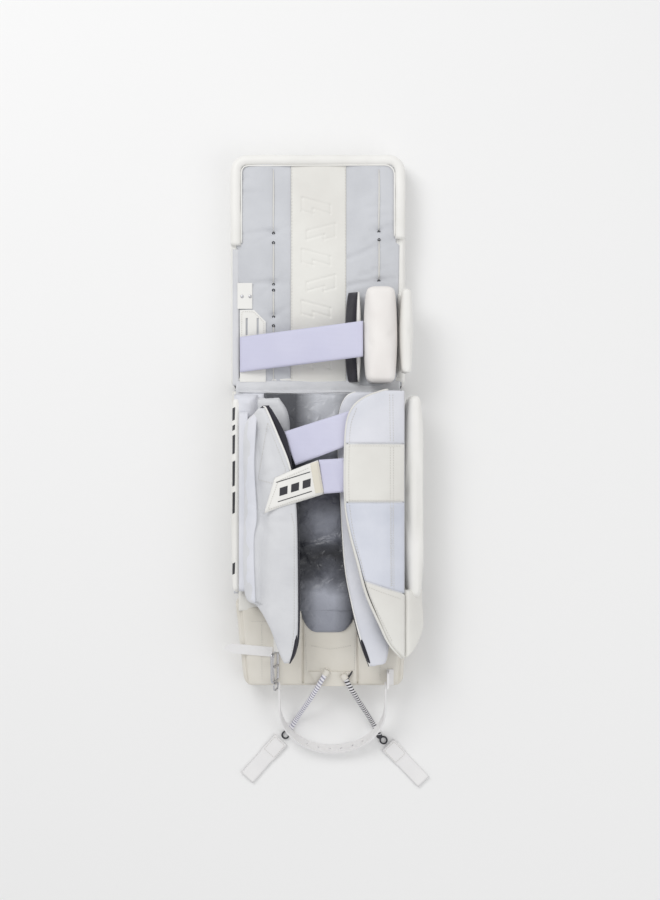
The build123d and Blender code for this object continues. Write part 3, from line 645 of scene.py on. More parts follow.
def casing(name, outline, depth, material, section, look):
    # the skin over a section's front and sides: swollen walls, a rounded front edge and a turned-in lip
    profile = [(26, 0.15), (9, 0.1), (3, 0.9), (0.8, 3.2), (-look["swell"] * 0.5, 9),
               (-look["swell"], depth * 0.45), (-look["swell"] * 0.6, depth * 0.8), (0.2, depth - 3),
               (1.6, depth - 1.2), (4.5, depth - 0.4), (9, depth - 3.4), (22, depth - 5.4)]
    count = len(outline)
    points, faces = [], []
    centre = outline.mean(0)
    for k, (inset, z) in enumerate(profile):
        ring = ringOutline(outline, inset) if inset < 14 else outline + (centre - outline) * (
            inset / np.linalg.norm(centre - outline, axis=1)[:, None])
        wave = softNoise(ring[:, 0] + ring[:, 1], ring[:, 0] - ring[:, 1], 60,
                         look["seed"]) * look["ripple"]
        out = ring + (ring - centre) / np.linalg.norm(ring - centre,
                                                      axis=1)[:, None] * (wave * (3 < z < depth - 4))[:, None]
        points.append(np.column_stack([out, np.full(count, z)]))
    points = np.vstack(points + [np.array([[centre[0], centre[1], 0.15]])])
    for k in range(len(profile) - 1):
        for s in range(count):
            t = (s + 1) % count
            faces.append((k * count + s, k * count + t, (k + 1) * count + t, (k + 1) * count + s))
    hub = len(points) - 1
    faces += [(hub, (s + 1) % count, s) for s in range(count)]
    return makePiece(name, points, faces, material, section)


cushions = []


def cushion(name, size, centre, material, look, section="row", turn=None):
    # starts as a rounded block; the air pressure of inflateAll then swells it like stuffed leather
    shape = bmesh.new()
    bmesh.ops.create_cube(shape, size=1.0)
    bmesh.ops.scale(shape, vec=[s - 2 * look.get("shrink", 2.5) for s in size], verts=shape.verts)
    bmesh.ops.bevel(shape, geom=list(shape.edges), offset=look.get("round", 8.0), segments=4,
                    affect="EDGES", profile=0.5)
    points = np.array([v.co[:] for v in shape.verts])
    if turn:
        points = np.array([turn(*p) for p in points])
    faces = [tuple(v.index for v in f.verts) for f in shape.faces]
    shape.free()
    piece = makePiece(name, points + np.array(centre), faces, material, section)
    cushions.append((piece, look))
    return piece


def inflateAll():
    for piece, look in cushions:
        remesh = piece.modifiers.new("remesh", "REMESH")
        remesh.mode = "VOXEL"
        remesh.voxel_size = look.get("voxel", 5.0) * mm
        remesh.use_smooth_shade = True
    bpy.context.view_layer.update()
    started = []
    for piece, look in cushions:
        graph = bpy.context.evaluated_depsgraph_get()
        mesh = bpy.data.meshes.new_from_object(piece.evaluated_get(graph))
        piece.modifiers.clear()
        piece.data = mesh
        started.append(np.array([v.co[:] for v in mesh.vertices]))
    for piece, look in cushions:
        cloth = piece.modifiers.new("cloth", "CLOTH")
        cloth.settings.use_pressure = True
        cloth.settings.uniform_pressure_force = look.get("pressure", 4.0)
        cloth.settings.tension_stiffness = 12
        cloth.settings.compression_stiffness = 12
        cloth.settings.shear_stiffness = 6
        cloth.settings.bending_stiffness = 0.6
        cloth.settings.effector_weights.gravity = 0
        cloth.point_cache.frame_start = 1
        cloth.point_cache.frame_end = 20
    for step in range(1, 21):
        bpy.context.scene.frame_set(step)
    graph = bpy.context.evaluated_depsgraph_get()
    for (piece, look), before in zip(cushions, started):
        mesh = bpy.data.meshes.new_from_object(piece.evaluated_get(graph))
        after = np.array([v.co[:] for v in mesh.vertices])
        move = after - before
        far = np.linalg.norm(move, axis=1)
        cap = look.get("cap", 6.0) * mm
        move *= np.minimum(1, cap / np.maximum(far, 1e-9))[:, None]
        mesh.vertices.foreach_set("co", (before + move).ravel())
        piece.modifiers.clear()
        piece.data = mesh
    bpy.context.scene.frame_set(1)
    for piece, look in cushions:
        material = look["material"]
        piece.data.materials.clear()
        piece.data.materials.append(material)
        points = np.array([v.co[:] for v in piece.data.vertices]) / mm
        depth = look["shape"](points) if "shape" in look else points
        piece.data.vertices.foreach_set("co", (depth * mm).ravel())
        piece.data.polygons.foreach_set("use_smooth", [True] * len(piece.data.polygons))
        smooth = piece.modifiers.new("smooth", "SUBSURF")
        smooth.levels = smooth.render_levels = 1
        piece.data.update()
    print("cushions swollen", len(cushions))


# toe ties: free elastic cords lying down from the toe to the floor
tieLook = {"diameter": 8.0, "length": 0.137}
tieRoutes = {
    "Left": [(11, -546, 63), (2.5, -560.5, 63), (-8, -579, 57), (-19, -598, 37), (-30, -616, 15),
             (-39.5, -632.5, 5), (-49, -648, 4.2)],
    "Right": [(45, -553, 62), (53, -567, 62), (63.5, -585.5, 55.5), (74, -604, 36.5), (84.5, -622, 16),
              (94, -640, 5.5), (103, -657, 4.2)]}


def toeTie(side, material):
    route = tieRoutes[side]
    curve = bpy.data.curves.new("toeTie" + side, "CURVE")
    curve.dimensions = "3D"
    spline = curve.splines.new("NURBS")
    spline.points.add(len(route) - 1)
    for point, place in zip(spline.points, route):
        point.co = [c * mm for c in place] + [1]
    spline.order_u = 3
    spline.use_endpoint_u = True
    spline.resolution_u = 12
    curve.bevel_depth = tieLook["diameter"] / 2 * mm
    curve.bevel_resolution = 6
    curve.materials.append(material)
    piece = bpy.data.objects.new("toeTie" + side, curve)
    bpy.context.collection.objects.link(piece)
    settle(piece, "boot", "toe_tie_" + side.lower(), "striped_elastic")
    return piece


def tieTail(side, turn):
    # a folded hook-and-loop strip: two layers, a raised fold by the ring, a box of stitches
    look = {"width": 27.0, "length": 85.0, "start": 18.4, "thick": 2.4, "fold": 34.0, "curl": 1.6}
    end = np.array(tieRoutes[side][-1][:2] + (0,))
    u = np.array([math.cos(math.radians(turn)), math.sin(math.radians(turn)), 0])
    v = np.array([-u[1], u[0], 0])

    def spot(t, s, layer):
        a, c = t * look["length"], s - 0.5
        fold = max(0.0, 1 - a / look["fold"])
        narrow = 0.94 if a > look["fold"] else 1.0
        bow = look["curl"] * (1 - abs(c) * 1.3) * math.sin(a / 9) * 0.25
        lift = 1.2 + 2.4 * fold ** 0.5 * (1 - 2.2 * abs(c) ** 3) + abs(bow) + 1.5 * t ** 3
        z = lift + (look["thick"] if layer == 0 else -0.8)
        place = end + u * (look["start"] + a) + v * look["width"] * c * narrow
        return place + np.array([0, 0, max(z, 0.15)])

    piece = leaf("tieTail" + side, 26, 9, spot, gripCloth)
    body = "tie_tail_" + side.lower()
    settle(piece, body, body, "strap_webbing")
    line = [end + u * (look["start"] + a) + v * b
            for a, b in ((3, -11), (30, -11), (30, 11), (3, 11), (3, -11))]
    seam("tieTailStitches" + side, [p[:2] for p in line], [piece], body, gap=3.4)
    ringLook = {"out": 7.9, "radius": 5.6, "wire": 1.35, "height": 2.8, "tilt": 0.8}
    ringLine = []
    for a in circle(28):
        place = end + u * (ringLook["out"] + ringLook["radius"] * math.cos(a))
        height = ringLook["height"] + ringLook["tilt"] * math.cos(a)
        ringLine.append(place + v * ringLook["radius"] * math.sin(a) + np.array([0, 0, height]))
    ring = tube("tieRing" + side, ringLine, ringLook["wire"], blackenedBrass, closed=True)
    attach(ring, "boot")
    wrap = tube("tieKnot" + side, [end + u * (-7 + 1.1 * k) + np.array([0, 0, 4.3]) for k in range(9)], 4.9,
                markInk, taper=True, sides=14)
    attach(wrap, "boot")
    return piece, ring, wrap


ties = {"Left": toeTie("Left", greyBraid), "Right": toeTie("Right", blackBraid)}
for side, turn in (("Left", 228.0), ("Right", 314.0)):
    tail, ring, wrap = tieTail(side, turn)
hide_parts("tie_rings")
print("ties laid")

# thigh rise
top = pad["top"]
half = pad["halfWidth"]
thighOutline = roundedOutline([(-half, knee[1] + 3), (half, knee[1] + 3), (half + 1, top),
                               (-half - 1, top)], [4, 4, 24, 24])
thighSkin = casing("thighSkin", thighOutline, pad["depth"], whiteLeather, "row",
                   {"swell": 3.4, "ripple": 0.6, "seed": 3})
for vertex in thighSkin.data.vertices:
    # the knee end slopes back, so that the knee can close
    x, y, z = (c / mm for c in vertex.co)
    near = min(1.0, max(0.0, (knee[1] + 26 - y) / 20))
    vertex.co.y += near * (1.5 + z * 0.17) * mm
settle(thighSkin, "thigh", "thigh_cover", "white_leather")

laces = {"leftX": -72.5, "rightX": 99.4, "left": [(276, 174), (155, 90.5), (78, 37.5), (20, -72)],
         "right": [(276, 176), (160, 96)], "radius": 1.35}


def puckers(x, y, seed, reach=34.0):
    # short creases that fan out from where a lace pulls the cloth in
    rng = np.random.default_rng(seed)
    fan = [(x, y, x, y - 1, 2.6, 5.0)]
    for turn in (150, 185, 214, 328, 355, 25):
        a = math.radians(turn + rng.uniform(-12, 12))
        r = reach * rng.uniform(0.7, 1.25)
        fan.append((x, y, x + r * math.cos(a), y + r * math.sin(a), rng.uniform(1.0, 1.9),
                    rng.uniform(2.6, 4.2)))
    return fan


leftCreases = [(-72.5, y1, -72.5, y2, 1.5, 3.5) for y1, y2 in laces["left"]]
rightCreases = [(99.4, y1, 99.4, y2, 1.5, 3.5) for y1, y2 in laces["right"]]
for k, (_, low) in enumerate(laces["left"]):
    leftCreases += puckers(laces["leftX"], low, 10 + k)
for k, (_, low) in enumerate(laces["right"]):
    rightCreases += puckers(laces["rightX"], low, 20 + k)
leftCreases += [(-76, 175, -128, 170, 3.2, 3.5), (-76, 93, -126, 86, 3.0, 3.5),
                (-128, 240, -84, 236, 1.6, 4), (-128, 262, -96, 258, 1.4, 4)]
rightCreases += [(48, 131, 100, 150, 3.4, 3.5), (127, 164, 92, 146, 3.0, 3.5), (48, 86, 94, 95, 3.2, 3.5),
                 (127, 98, 90, 96, 2.6, 3), (90, 112, 127, 120, 2.4, 3), (70, 104, 120, 110, 2.0, 3),
                 (72, 140, 120, 168, 2.0, 3), (84, 196, 127, 204, 1.6, 3), (88, 178, 126, 186, 1.6, 3),
                 (80, 214, 126, 220, 1.3, 3)]
lowHalf = lambda x, y: -2.2 / (1 + np.exp((y - 98) / 5))
thighPanels = {
    "Left": {"left": [(-78, -126), (147, -134), (150, -129), (282, -129)], "right": -43.4, "low": -77,
             "high": 286, "thick": 3.6, "edge": 2.2, "crown": 3.2, "ripple": 0.9, "rippleSize": 60,
             "seed": 4, "sink": lowHalf, "creases": leftCreases, "cell": 3.6},
    "Center": {"left": -44.6, "right": 46.6, "low": -77, "high": 287, "thick": 3.8, "edge": 1.6,
               "crown": 2.2, "ripple": 0.5, "rippleSize": 70, "seed": 5, "cell": 1.5},
    "Right": {"left": 45.4, "right": [(-78, 127), (157, 133), (162, 127), (282, 127)], "low": -77,
              "high": 286, "thick": 3.6, "edge": 2.2, "crown": 3.2, "ripple": 0.9, "rippleSize": 60,
              "seed": 6, "creases": rightCreases, "cell": 3.6}}
# the pressed pattern down the middle is plain outlined arrows
chevrons = []
arrow = [(-24, 4), (22, -8), (22, -22), (-6, -14), (-6, -22), (-24, -17), (-24, 4)]
for k in range(7):
    middleX, topY = (4 if k % 2 else -2), 226 - 42 * k
    for (ax, ay), (bx, by) in zip(arrow, arrow[1:]):
        flip = -1 if k % 2 else 1
        chevrons.append((middleX + ax * flip, topY + ay, middleX + bx * flip, topY + by, 1.0, 1.5))
        chevrons.append((middleX + bx * flip, topY + by, middleX + ax * flip, topY + ay, 0.5, 1.5))
thighPanels["Center"]["creases"] = chevrons
panels = {}
for key, look in thighPanels.items():
    piece = quilt("thighPanel" + key, look, creamLeather if key == "Center" else greyNylon, flatAt(46.4))
    settle(piece, "thigh", "thigh_panel_" + key.lower(), "white_leather" if key == "Center"
           else "pale_nylon")
    panels[key] = piece
backOfThigh = list(panels.values())
edgeStrip = quilt("thighEdgeStrip", {"left": -139.5, "right": -128, "low": -76, "high": 147, "thick": 4.2,
                                     "edge": 4, "ripple": 0.5, "seed": 17}, leafNylon, flatAt(47))
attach(edgeStrip, "thigh")

roll = {"width": 8.4, "high": 6.8, "leftEnd": 152.0, "rightEnd": 163.0, "inset": 5.6, "corner": 24.0}
corner = lambda cx, cy, r, a0, a1: [(cx + r * math.cos(math.radians(a)), cy + r * math.sin(math.radians(a)))
                                    for a in np.linspace(a0, a1, 14)]
rollLine = ([(-half + roll["inset"], roll["leftEnd"])]
            + corner(-half + roll["corner"], top - roll["corner"], roll["corner"] - roll["inset"], 180, 90)
            + corner(half - roll["corner"], top - roll["corner"], roll["corner"] - roll["inset"], 90, 0)
            + [(half - roll["inset"], roll["rightEnd"])])
rollLine = spaced(rollLine, 5.0)
wobble = softNoise(rollLine[:, 0], rollLine[:, 1], 45, 8)
rollLine = rollLine + 0.9 * wobble[:, None]
rollPoints = np.column_stack([rollLine, 50.5 + 0.9 * wobble])
binding = tube("thighBinding", rollPoints, roll["width"], whiteLeather, sides=18,
               flat=roll["high"] / roll["width"], taper=False)
settle(binding, "thigh", "thigh_binding", "white_leather")
insideRoll = ([(-half + 15.0, roll["leftEnd"] + 4)]
              + corner(-half + 25, top - 25, 10, 180, 90)
              + corner(half - 30, top - 29, 15, 90, 0)
              + [(half - 15.0, roll["rightEnd"] + 4)])
seam("bindingStitches", insideRoll, [binding] + backOfThigh, "thigh", gap=6.5, lift=0.3)
lip = tube("bindingLip", [(x, y, 53.2) for x, y in spaced(insideRoll, 6.0)], 1.2, whiteLeather, sides=8)
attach(lip, "thigh")

laceParts = []
thighTree = treeOf(backOfThigh)
for x, runs in ((laces["leftX"], laces["left"]), (laces["rightX"], laces["right"])):
    for k, (high, low) in enumerate(runs):
        ys = np.linspace(high, low, 22)
        line = []
        for y in ys:
            hit, _ = dropOn(thighTree, x, y)
            line.append(hit + np.array([0.25 * math.sin(y / 17), 0, 1.0]))
        line[-1][2] -= 1.6
        lace = tube(f"lace{k}{'L' if x < 0 else 'R'}", line, laces["radius"], laceCord, sides=8, flat=0.7,
                    taper=True)
        settle(lace, "thigh", slot="white_lace")
        laceParts.append(lace)
        for end in ((low - 1.5,) if k == 0 else (high + 1.5, low - 1.5)):
            hit, _ = dropOn(thighTree, x, end)
            rim = [hit + np.array([1.8 * math.cos(a), 1.8 * math.sin(a), 0.4]) for a in circle(18)]
            eyelet = tube(f"eyelet{len(laceParts)}{int(end) % 97}", rim, 0.8, blackenedBrass, closed=True,
                          sides=8)
            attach(eyelet, "thigh")
            laceParts.append(eyelet)
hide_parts("thigh_lacing")
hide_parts("lace_eyelets")
for x in (-46, 48):
    seam("centerSeam" + ("L" if x < 0 else "R"), [(x + (3.5 if x < 0 else -3.5), 278),
                                                  (x + (3.5 if x < 0 else -3.5), -72)], [panels["Center"]],
         "thigh", gap=5.2)
print("thigh built")

# slotted tab and snaps
slotTab = dress("strap_slot_tab", whiteLeather, 0.7)
dress("snap_patch", whiteLeather, 0.7)
seam("slotTabStitches", [(-124, -20), (-124, 44), (-105, 44), (-88, 27), (-88, -20)], [slotTab], "thigh",
     gap=3.6)
for k, x in enumerate((-125.5, -112.5)):
    cap = bmesh.new()
    bmesh.ops.create_uvsphere(cap, u_segments=20, v_segments=10, radius=2.8)
    points = np.array([v.co[:] for v in cap.verts]) * [1, 1, 0.55] + [x + 2, 69, 53.2]
    faces = [tuple(v.index for v in f.verts) for f in cap.faces]
    cap.free()
    snap = makePiece(f"snapCap{k}", points, faces, nickelSteel)
    settle(snap, "thigh", slot="steel")
    if k == 0:
        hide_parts("snaps")

# knee cushions
kneeBlock = cushion("kneeBlock", (53, 161, 66), (100.5, 3.5, 84), warmLeather, {
    "material": warmLeather, "round": 11, "shrink": 3.0, "cap": 5, "voxel": 4.5})
kneeWing = cushion("kneeWing", (20, 142, 52), (142, 9.5, 83), whiteLeather, {
    "material": whiteLeather, "round": 7, "shrink": 2.5, "cap": 4, "voxel": 4.0})
kneeWingFoot = quilt("kneeWingFoot", {"left": 130, "right": 141, "low": -56, "high": 74, "thick": 9,
                                      "edge": 3}, whiteLeather, flatAt(48.5))
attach(kneeWingFoot, "thigh")

# shin cushions
leftWall = cushion("leftWall", (18, 318, 30), (-131, -254, 70), whiteLeather, {
    "material": whiteLeather, "round": 7, "shrink": 2.0, "cap": 4, "voxel": 5.0}, section="row")
rightWall = cushion("rightWall", (17, 316, 34), (128, -254, 80), greyNylon, {
    "material": greyNylon, "round": 6, "shrink": 2.0, "cap": 4, "voxel": 5.0})
sideWing = cushion("sideWing", (27, 334, 60), (154, -256, 75), whiteLeather, {
    "material": whiteLeather, "round": 11, "shrink": 3.0, "cap": 6, "voxel": 5.0,
    "shape": lambda p: p + np.stack([0.09 * (p[:, 2] - 75) + 2.0 * np.sin((p[:, 1] + 90) / 334 * math.pi),
                                     0 * p[:, 0], 0 * p[:, 0]], -1)})
inflateAll()
for piece, body, node, slotName in ((kneeBlock, "thigh", "knee_block", "white_leather"),
                                    (kneeWing, "thigh", "knee_side_wing", "white_leather"),
                                    (leftWall, "shin", "left_side_wall", "white_leather"),
                                    (rightWall, "shin", "right_side_wall", "pale_nylon"),
                                    (sideWing, "shin", "right_side_wing", "white_leather")):
    settle(piece, body, node, slotName)
print("cushions placed")

# knee flap: a leaning padded leaf with a dark face towards the knee
flapLook = {"foot": 44.0, "lean": 14.0, "low": -71.0, "high": 75.0, "base": 51.0, "top": 80.0,
            "thick": 10.0}


def flapLeaf(name, x0, thick, material, grow):
    def spot(t, s, layer):
        y = flapLook["low"] + (flapLook["high"] - flapLook["low"]) * t
        tall = (flapLook["top"] - flapLook["base"]) * math.sin(math.pi * (0.03 + 0.94 * t)) ** 0.32
        edge = min(1, 5 * s + 0.2, 6 * (1 - s) + 0.12, 14 * t + 0.1, 14 * (1 - t) + 0.1)
        swell = thick / 2 * (1 - (1 - edge) ** 2) ** 0.5 * math.sin(math.pi * (0.03 + 0.94 * t)) ** 0.4
        bow = grow * (1 - math.sin(math.pi * (0.04 + 0.92 * t)) ** 0.6)
        x = x0 + thick / 2 + bow + flapLook["lean"] * s + (swell if layer else -swell)
        return x, y, flapLook["base"] + tall * s

    return leaf(name, 34, 12, spot, material)


kneeFlap = flapLeaf("kneeFlap", flapLook["foot"] + 4.0, flapLook["thick"] - 1, whiteLeather, 0.0)
kneeLining = flapLeaf("kneeFlapLining", flapLook["foot"] - 1.5, 6.5, liningCloth, 6.0)
for piece, node, slotName in ((kneeFlap, "knee_flap", "white_leather"),
                              (kneeLining, "knee_flap_lining", "charcoal_lining")):
    settle(piece, "knee_flap", node, slotName)


# elastic straps
def strapBand(name, look, material):
    # a flat elastic between two ends, with soft edges and a shallow sag
    (x0, y0, z0), (x1, y1, z1) = look["start"], look["end"]

    def spot(t, across, layer):
        s = across - 0.5
        edge = min(1, (0.5 - abs(s)) * 16 + 0.25)
        x = x0 + (x1 - x0) * t + s * look.get("cutStart", 0) * (1 - t) + s * look.get("cutEnd", 0) * t
        y = y0 + (y1 - y0) * t + s * look["width"]
        z = z0 + (z1 - z0) * t - look["sag"] * math.sin(math.pi * t) + 0.35 * math.sin(t * 23 + s * 4)
        z -= look.get("droop", 0.0) * max(0.0, 1 - t / 0.2) ** 2
        return x, y, z + (1.25 if layer == 0 else -1.25) * edge

    return leaf(name, 44, 15, spot, material)


kneeStrap = strapBand("kneeStrap", {"start": (-127, -26, 59), "end": (72.5, -3, 98.5), "width": 57.5,
                                    "sag": 0.8, "droop": 3.4}, wovenElastic)
settle(kneeStrap, "knee_strap", "knee_strap", "lavender_elastic")
print("knee built")

# shin
shinOutline = roundedOutline([(-half + 1, knee[1] - 336), (half, knee[1] - 336), (half, knee[1] - 6),
                              (-half, knee[1] - 6)], [3, 3, 3, 3])
shinOutline[:, 0] += np.where(shinOutline[:, 0] < 0, (knee[1] - shinOutline[:, 1]) / 338 * 7, 0)
shinSkin = casing("shinSkin", shinOutline, pad["depth"], creamLeather, "shin",
                  {"swell": 2.5, "ripple": 0.7, "seed": 7})
settle(shinSkin, "shin", "shin_cover", "white_leather")
shinBack = quilt("shinBack", {"left": -136, "right": 138, "low": -417, "high": -92, "thick": 3.5, "edge": 3,
                              "crown": 0.5}, greyNylon, flatAt(46.4), "shin")
settle(shinBack, "shin", "shin_back", "pale_nylon")

# the leg channel: a trough of dark satin with deep soft folds
liner = {"left": -88, "right": 101, "low": -418, "high": -93, "thick": 9.0, "edge": 5, "ripple": 1.8,
         "rippleSize": 42, "seed": 12, "cell": 3.4,
         "creases": [(-30, -334, 42, -316, 7.0, 8), (-34, -352, 12, -345, 2.6, 4),
                     (-34, -372, 2, -366, 2.4, 3.5), (-34, -386, 18, -392, 3.4, 5),
                     (-34, -408, 10, -399, 2.2, 5), (-20, -366, 26, -372, 1.8, 6),
                     (40, -300, 30, -410, 2.6, 9), (-34, -300, 8, -296, 1.8, 5),
                     (-28, -240, 40, -246, 2.4, 9), (-34, -180, 36, -172, 2.0, 9),
                     (2, -350, -8, -408, 1.6, 6)]}
liner["sink"] = lambda x, y: ((x - 6) / 92) ** 2 * 8.0
channel = quilt("legChannel", liner, satinCloth, flatAt(48), "shin")
settle(channel, "shin", "channel_liner", "dark_satin")
leftBack = quilt("leftNylonPanel", {"left": -123, "right": -84, "low": -412, "high": -92, "thick": 8,
                                    "edge": 9, "crown": 2.5, "ripple": 1.2, "seed": 13,
                                    "creases": [(-122, -190, -90, -186, 1.6, 4),
                                                (-122, -272, -92, -266, 1.4, 4)]}, whiteNylon, flatAt(50),
                 "shin")
settle(leftBack, "shin", "left_back_panel", "pale_nylon")

# knee and ankle gussets: soft cloth that joins the sections across the breaks
kneeGusset = quilt("kneeGusset", {"left": -134, "right": 134, "low": -99, "high": -68, "thick": 3,
                                  "edge": 3, "crown": 1.2, "ripple": 0.8, "seed": 15, "rippleSize": 24,
                                  "cell": 3.0, "creases": [(-130, -84, 130, -84, 2.0, 2.6),
                                                           (-40, -84, -120, -96, 1.4, 3)]}, leafNylon,
                   flatAt(48.6))
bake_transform(kneeGusset)
kneePiping = tube("kneePiping", [(x, -87.0 + 0.5 * math.sin(x / 30), 52.8 + 0.4 * math.sin(x / 11))
                                 for x in np.linspace(-130, 128, 60)], 1.8, leafNylon, taper=True)
settle(kneePiping, "shin", "knee_break_piping", "white_leather")
print("shin built")

# calf wraps
wrap = {"thick": 8.0, "lining": 1.8}
leftShell = (-45.0, 30.0, 98.0)
outerShell = (75.0, 20.0, 110.0)
innerShell = (75.0, 18.0, 86.0)
leftEdge = [(-112, -86), (-116, -81), (-160, -62), (-207, -44), (-262, -34), (-360, -31), (-465, -31),
            (-500, -36), (-519, -45)]
leftRoot = [(-110, -86), (-114, -92), (-122, -99), (-150, -116), (-260, -116), (-404, -116), (-430, -96),
            (-462, -76), (-500, -62), (-519, -53)]
leafStart = -91.0
outerEdge = [(-85, 112), (-87, 104), (-97, 77), (-112, 58), (-135, 48), (-175, 44.5), (-260, 44.5),
             (-312, 52), (-359, 64), (-408, 77), (-456, 98), (-489, 114), (-513, 134)]
innerEdge = [(-86, 70), (-88, 60), (-98, 44), (-127, 34), (-185, 33), (-253, 37), (-359, 43), (-424, 54),
             (-489, 70), (-527, 83)]
innerRoot = [(-92, 114), (-480, 114), (-527, 92)]


def shellAt(shell, depth):
    return roundAt(shell[0], shell[1], shell[2] - depth)


def edgeTube(name, edge, shell, depth, radius, material, body, shift=0.0, low=-1000, high=1000):
    line = smoothLine([(x + shift, y) for y, x in edge], 90)
    line = line[(line[:, 1] > low) & (line[:, 1] < high)]
    points, _ = shellAt(shell, depth)(line[:, 0], line[:, 1])
    piece = tube(name, points, radius, material, taper=True)
    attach(piece, body)
    return piece


def leafValley(x, y):
    # the long soft hollow beside the leaf, widest under the calf tab where the strap pulls the cloth in
    middle = leafStart - 0.012 * (y + 300) + 5.0 * np.exp(-((y + 285) / 42) ** 2)
    width = 8.0 + 5.0 * np.exp(-((y + 300) / 70) ** 2)
    return -13.0 * np.exp(-((x - middle) / width) ** 2) * np.clip((-118 - y) / 30, 0, 1)


leftWrap = quilt("leftWrap", {"left": leftRoot, "sink": leafValley, "right": leftEdge, "low": -519,
                              "high": -114, "thick": wrap["thick"] - wrap["lining"], "edge": 4.5,
                              "crown": 1.6, "ripple": 0.7, "rippleSize": 55, "seed": 21, "cell": 4.0,
                              "creases": [(-78, -150, -60, -230, 1.3, 2.4),
                                          (-78, -150, -94, -236, 1.3, 2.4),
                                          (-94, -236, -60, -230, 1.2, 2.4), (-88, -284, -44, -270, 3.2, 5),
                                          (-90, -290, -48, -296, 2.6, 5), (-88, -296, -62, -330, 2.4, 5),
                                          (-84, -222, -58, -206, 1.8, 5), (-92, -180, -80, -222, 1.8, 5)]},
                 leafNylon, shellAt(leftShell, wrap["thick"] - wrap["lining"]))
leftLining = quilt("leftWrapLining",
                   {"left": leftRoot, "right": [(y, x + 1.5 + max(0, 13 - abs(y + 150) * 0.19))
                                                for y, x in leftEdge], "low": -519, "high": -110,
                    "thick": 2.4, "edge": 1.5, "ripple": 0.3, "sink": leafValley}, liningCloth,
                   shellAt(leftShell, wrap["thick"] + 0.5))
for piece, node, slotName in ((leftWrap, "left_wrap_shell", "pale_nylon"),
                              (leftLining, "left_wrap_lining", "charcoal_lining")):
    settle(piece, "left_wrap", node, slotName)
edgeTube("leftWrapBinding", leftEdge, leftShell, 4.0, 2.0, liningCloth, "left_wrap", shift=0.8, low=-519,
         high=-250)
edgeTube("leftWrapPiping", leftEdge, leftShell, 2.5, 1.9, whiteLeather, "left_wrap", shift=-0.6, low=-262,
         high=-112)
for tip, shell, body in ((((-34.5, -470), (-36.5, -494), (-42, -514)), leftShell, "left_wrap"),
                         (((70, -484), (76, -504), (83, -521)), innerShell, "right_inner_wrap")):
    line = smoothLine(tip, 20)
    spots, _ = shellAt(shell, 1.6)(line[:, 0], line[:, 1])
    lens = tube(body + "TipGuard", spots, 3.4, liningCloth, taper=True, flat=0.9)
    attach(lens, body)
seam("leftWrapPocket", [(-79, -138), (-95, -228), (-62, -236), (-50, -212), (-79, -138)], [leftWrap],
     "left_wrap", gap=4.0)
seam("leftWrapEdgeStitches", [(-42, -280), (-37, -300), (-37, -460), (-41, -500)], [leftWrap], "left_wrap",
     gap=4.4)
rootCloth = quilt("leftWrapRoot", {"left": [(y, x - 0.6) for y, x in leftRoot],
                                   "right": [(-118, -96), (-200, -101), (-285, -97), (-330, -102),
                                             (-430, -99)], "low": -424, "high": -112, "thick": 4.2,
                                   "edge": 14, "ripple": 1.4, "rippleSize": 40, "seed": 25,
                                   "creases": [(-116, -190, -98, -184, 1.5, 3),
                                               (-116, -262, -98, -270, 1.5, 3)]}, whiteNylon,
                  shellAt(leftShell, 3.4))
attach(rootCloth, "left_wrap")
collar = quilt("leftWrapCollar", {"left": -104, "right": [(-96, -62), (-120, -47), (-152, -43)],
                                  "low": -158, "high": -95, "thick": 15, "edge": 11, "ripple": 1.2,
                                  "rippleSize": 28, "seed": 26}, leafNylon, flatAt(56))
shoulder = quilt("leftShoulderCloth", {"left": -136, "right": [(-92, -98), (-118, -97), (-150, -101)],
                                       "low": -150, "high": -91, "thick": 22, "edge": 16, "ripple": 1.6,
                                       "rippleSize": 30, "seed": 27,
                                       "creases": [(-130, -104, -104, -118, 2.5, 5)]}, whiteNylon,
                 flatAt(62))
settle(shoulder, "shin")
settle(collar, "shin")

outerPanels = {}
seamLines = {"top": -171.0, "band": -264.0}
panelLook = {"thick": wrap["thick"] - wrap["lining"], "edge": 2.4, "crown": 1.4, "ripple": 0.6,
             "rippleSize": 60, "cell": 4.0}
specs = {
    "Top": {"low": seamLines["top"], "high": -86, "material": whiteNylon, "node": "right_wrap_top_panel",
            "slot": "pale_nylon"},
    "Band": {"low": seamLines["band"], "high": seamLines["top"], "material": creamLeather,
             "node": "right_wrap_band", "slot": "white_leather"},
    "Mid": {"low": -399.0, "high": seamLines["band"], "material": blueNylon, "node": "right_wrap_mid_panel",
            "slot": "pale_nylon", "skewLow": -0.36},
    "Lower": {"low": -513.0, "high": -399.0, "material": creamLeather, "node": "right_wrap_lower_panel",
              "slot": "white_leather", "skewHigh": -0.36}}
for key, spec in specs.items():
    look = {**panelLook, "left": outerEdge, "right": 136.0, "low": spec["low"] + 0.2,
            "high": spec["high"] - 0.2, "seed": 30 + len(outerPanels)}
    for extra in ("skewLow", "skewHigh"):
        if extra in spec:
            look[extra] = spec[extra]
    if key == "Mid":
        look["creases"] = [(112, -270, 116, -400, 1.5, 3.0), (121, -270, 125, -402, 1.5, 3.0)]
    piece = quilt("outerWrap" + key, look, spec["material"],
                  shellAt(outerShell, wrap["thick"] - wrap["lining"]))
    settle(piece, "right_wrap", spec["node"], spec["slot"])
    outerPanels[key] = piece
outerUnder = quilt("outerWrapPadding", {"left": [(y, x + 3) for y, x in outerEdge], "right": 134,
                                        "low": -505, "high": -92, "thick": 4.9, "edge": 3}, leafNylon,
                   shellAt(outerShell, wrap["thick"] - wrap["lining"]))
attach(outerUnder, "right_wrap")
outerLining = quilt("outerWrapLining", {"left": [(y, x - 0.8) for y, x in outerEdge], "right": 135,
                                        "low": -513, "high": -86, "thick": 1.8, "edge": 1.2}, liningCloth,
                    shellAt(outerShell, wrap["thick"]))
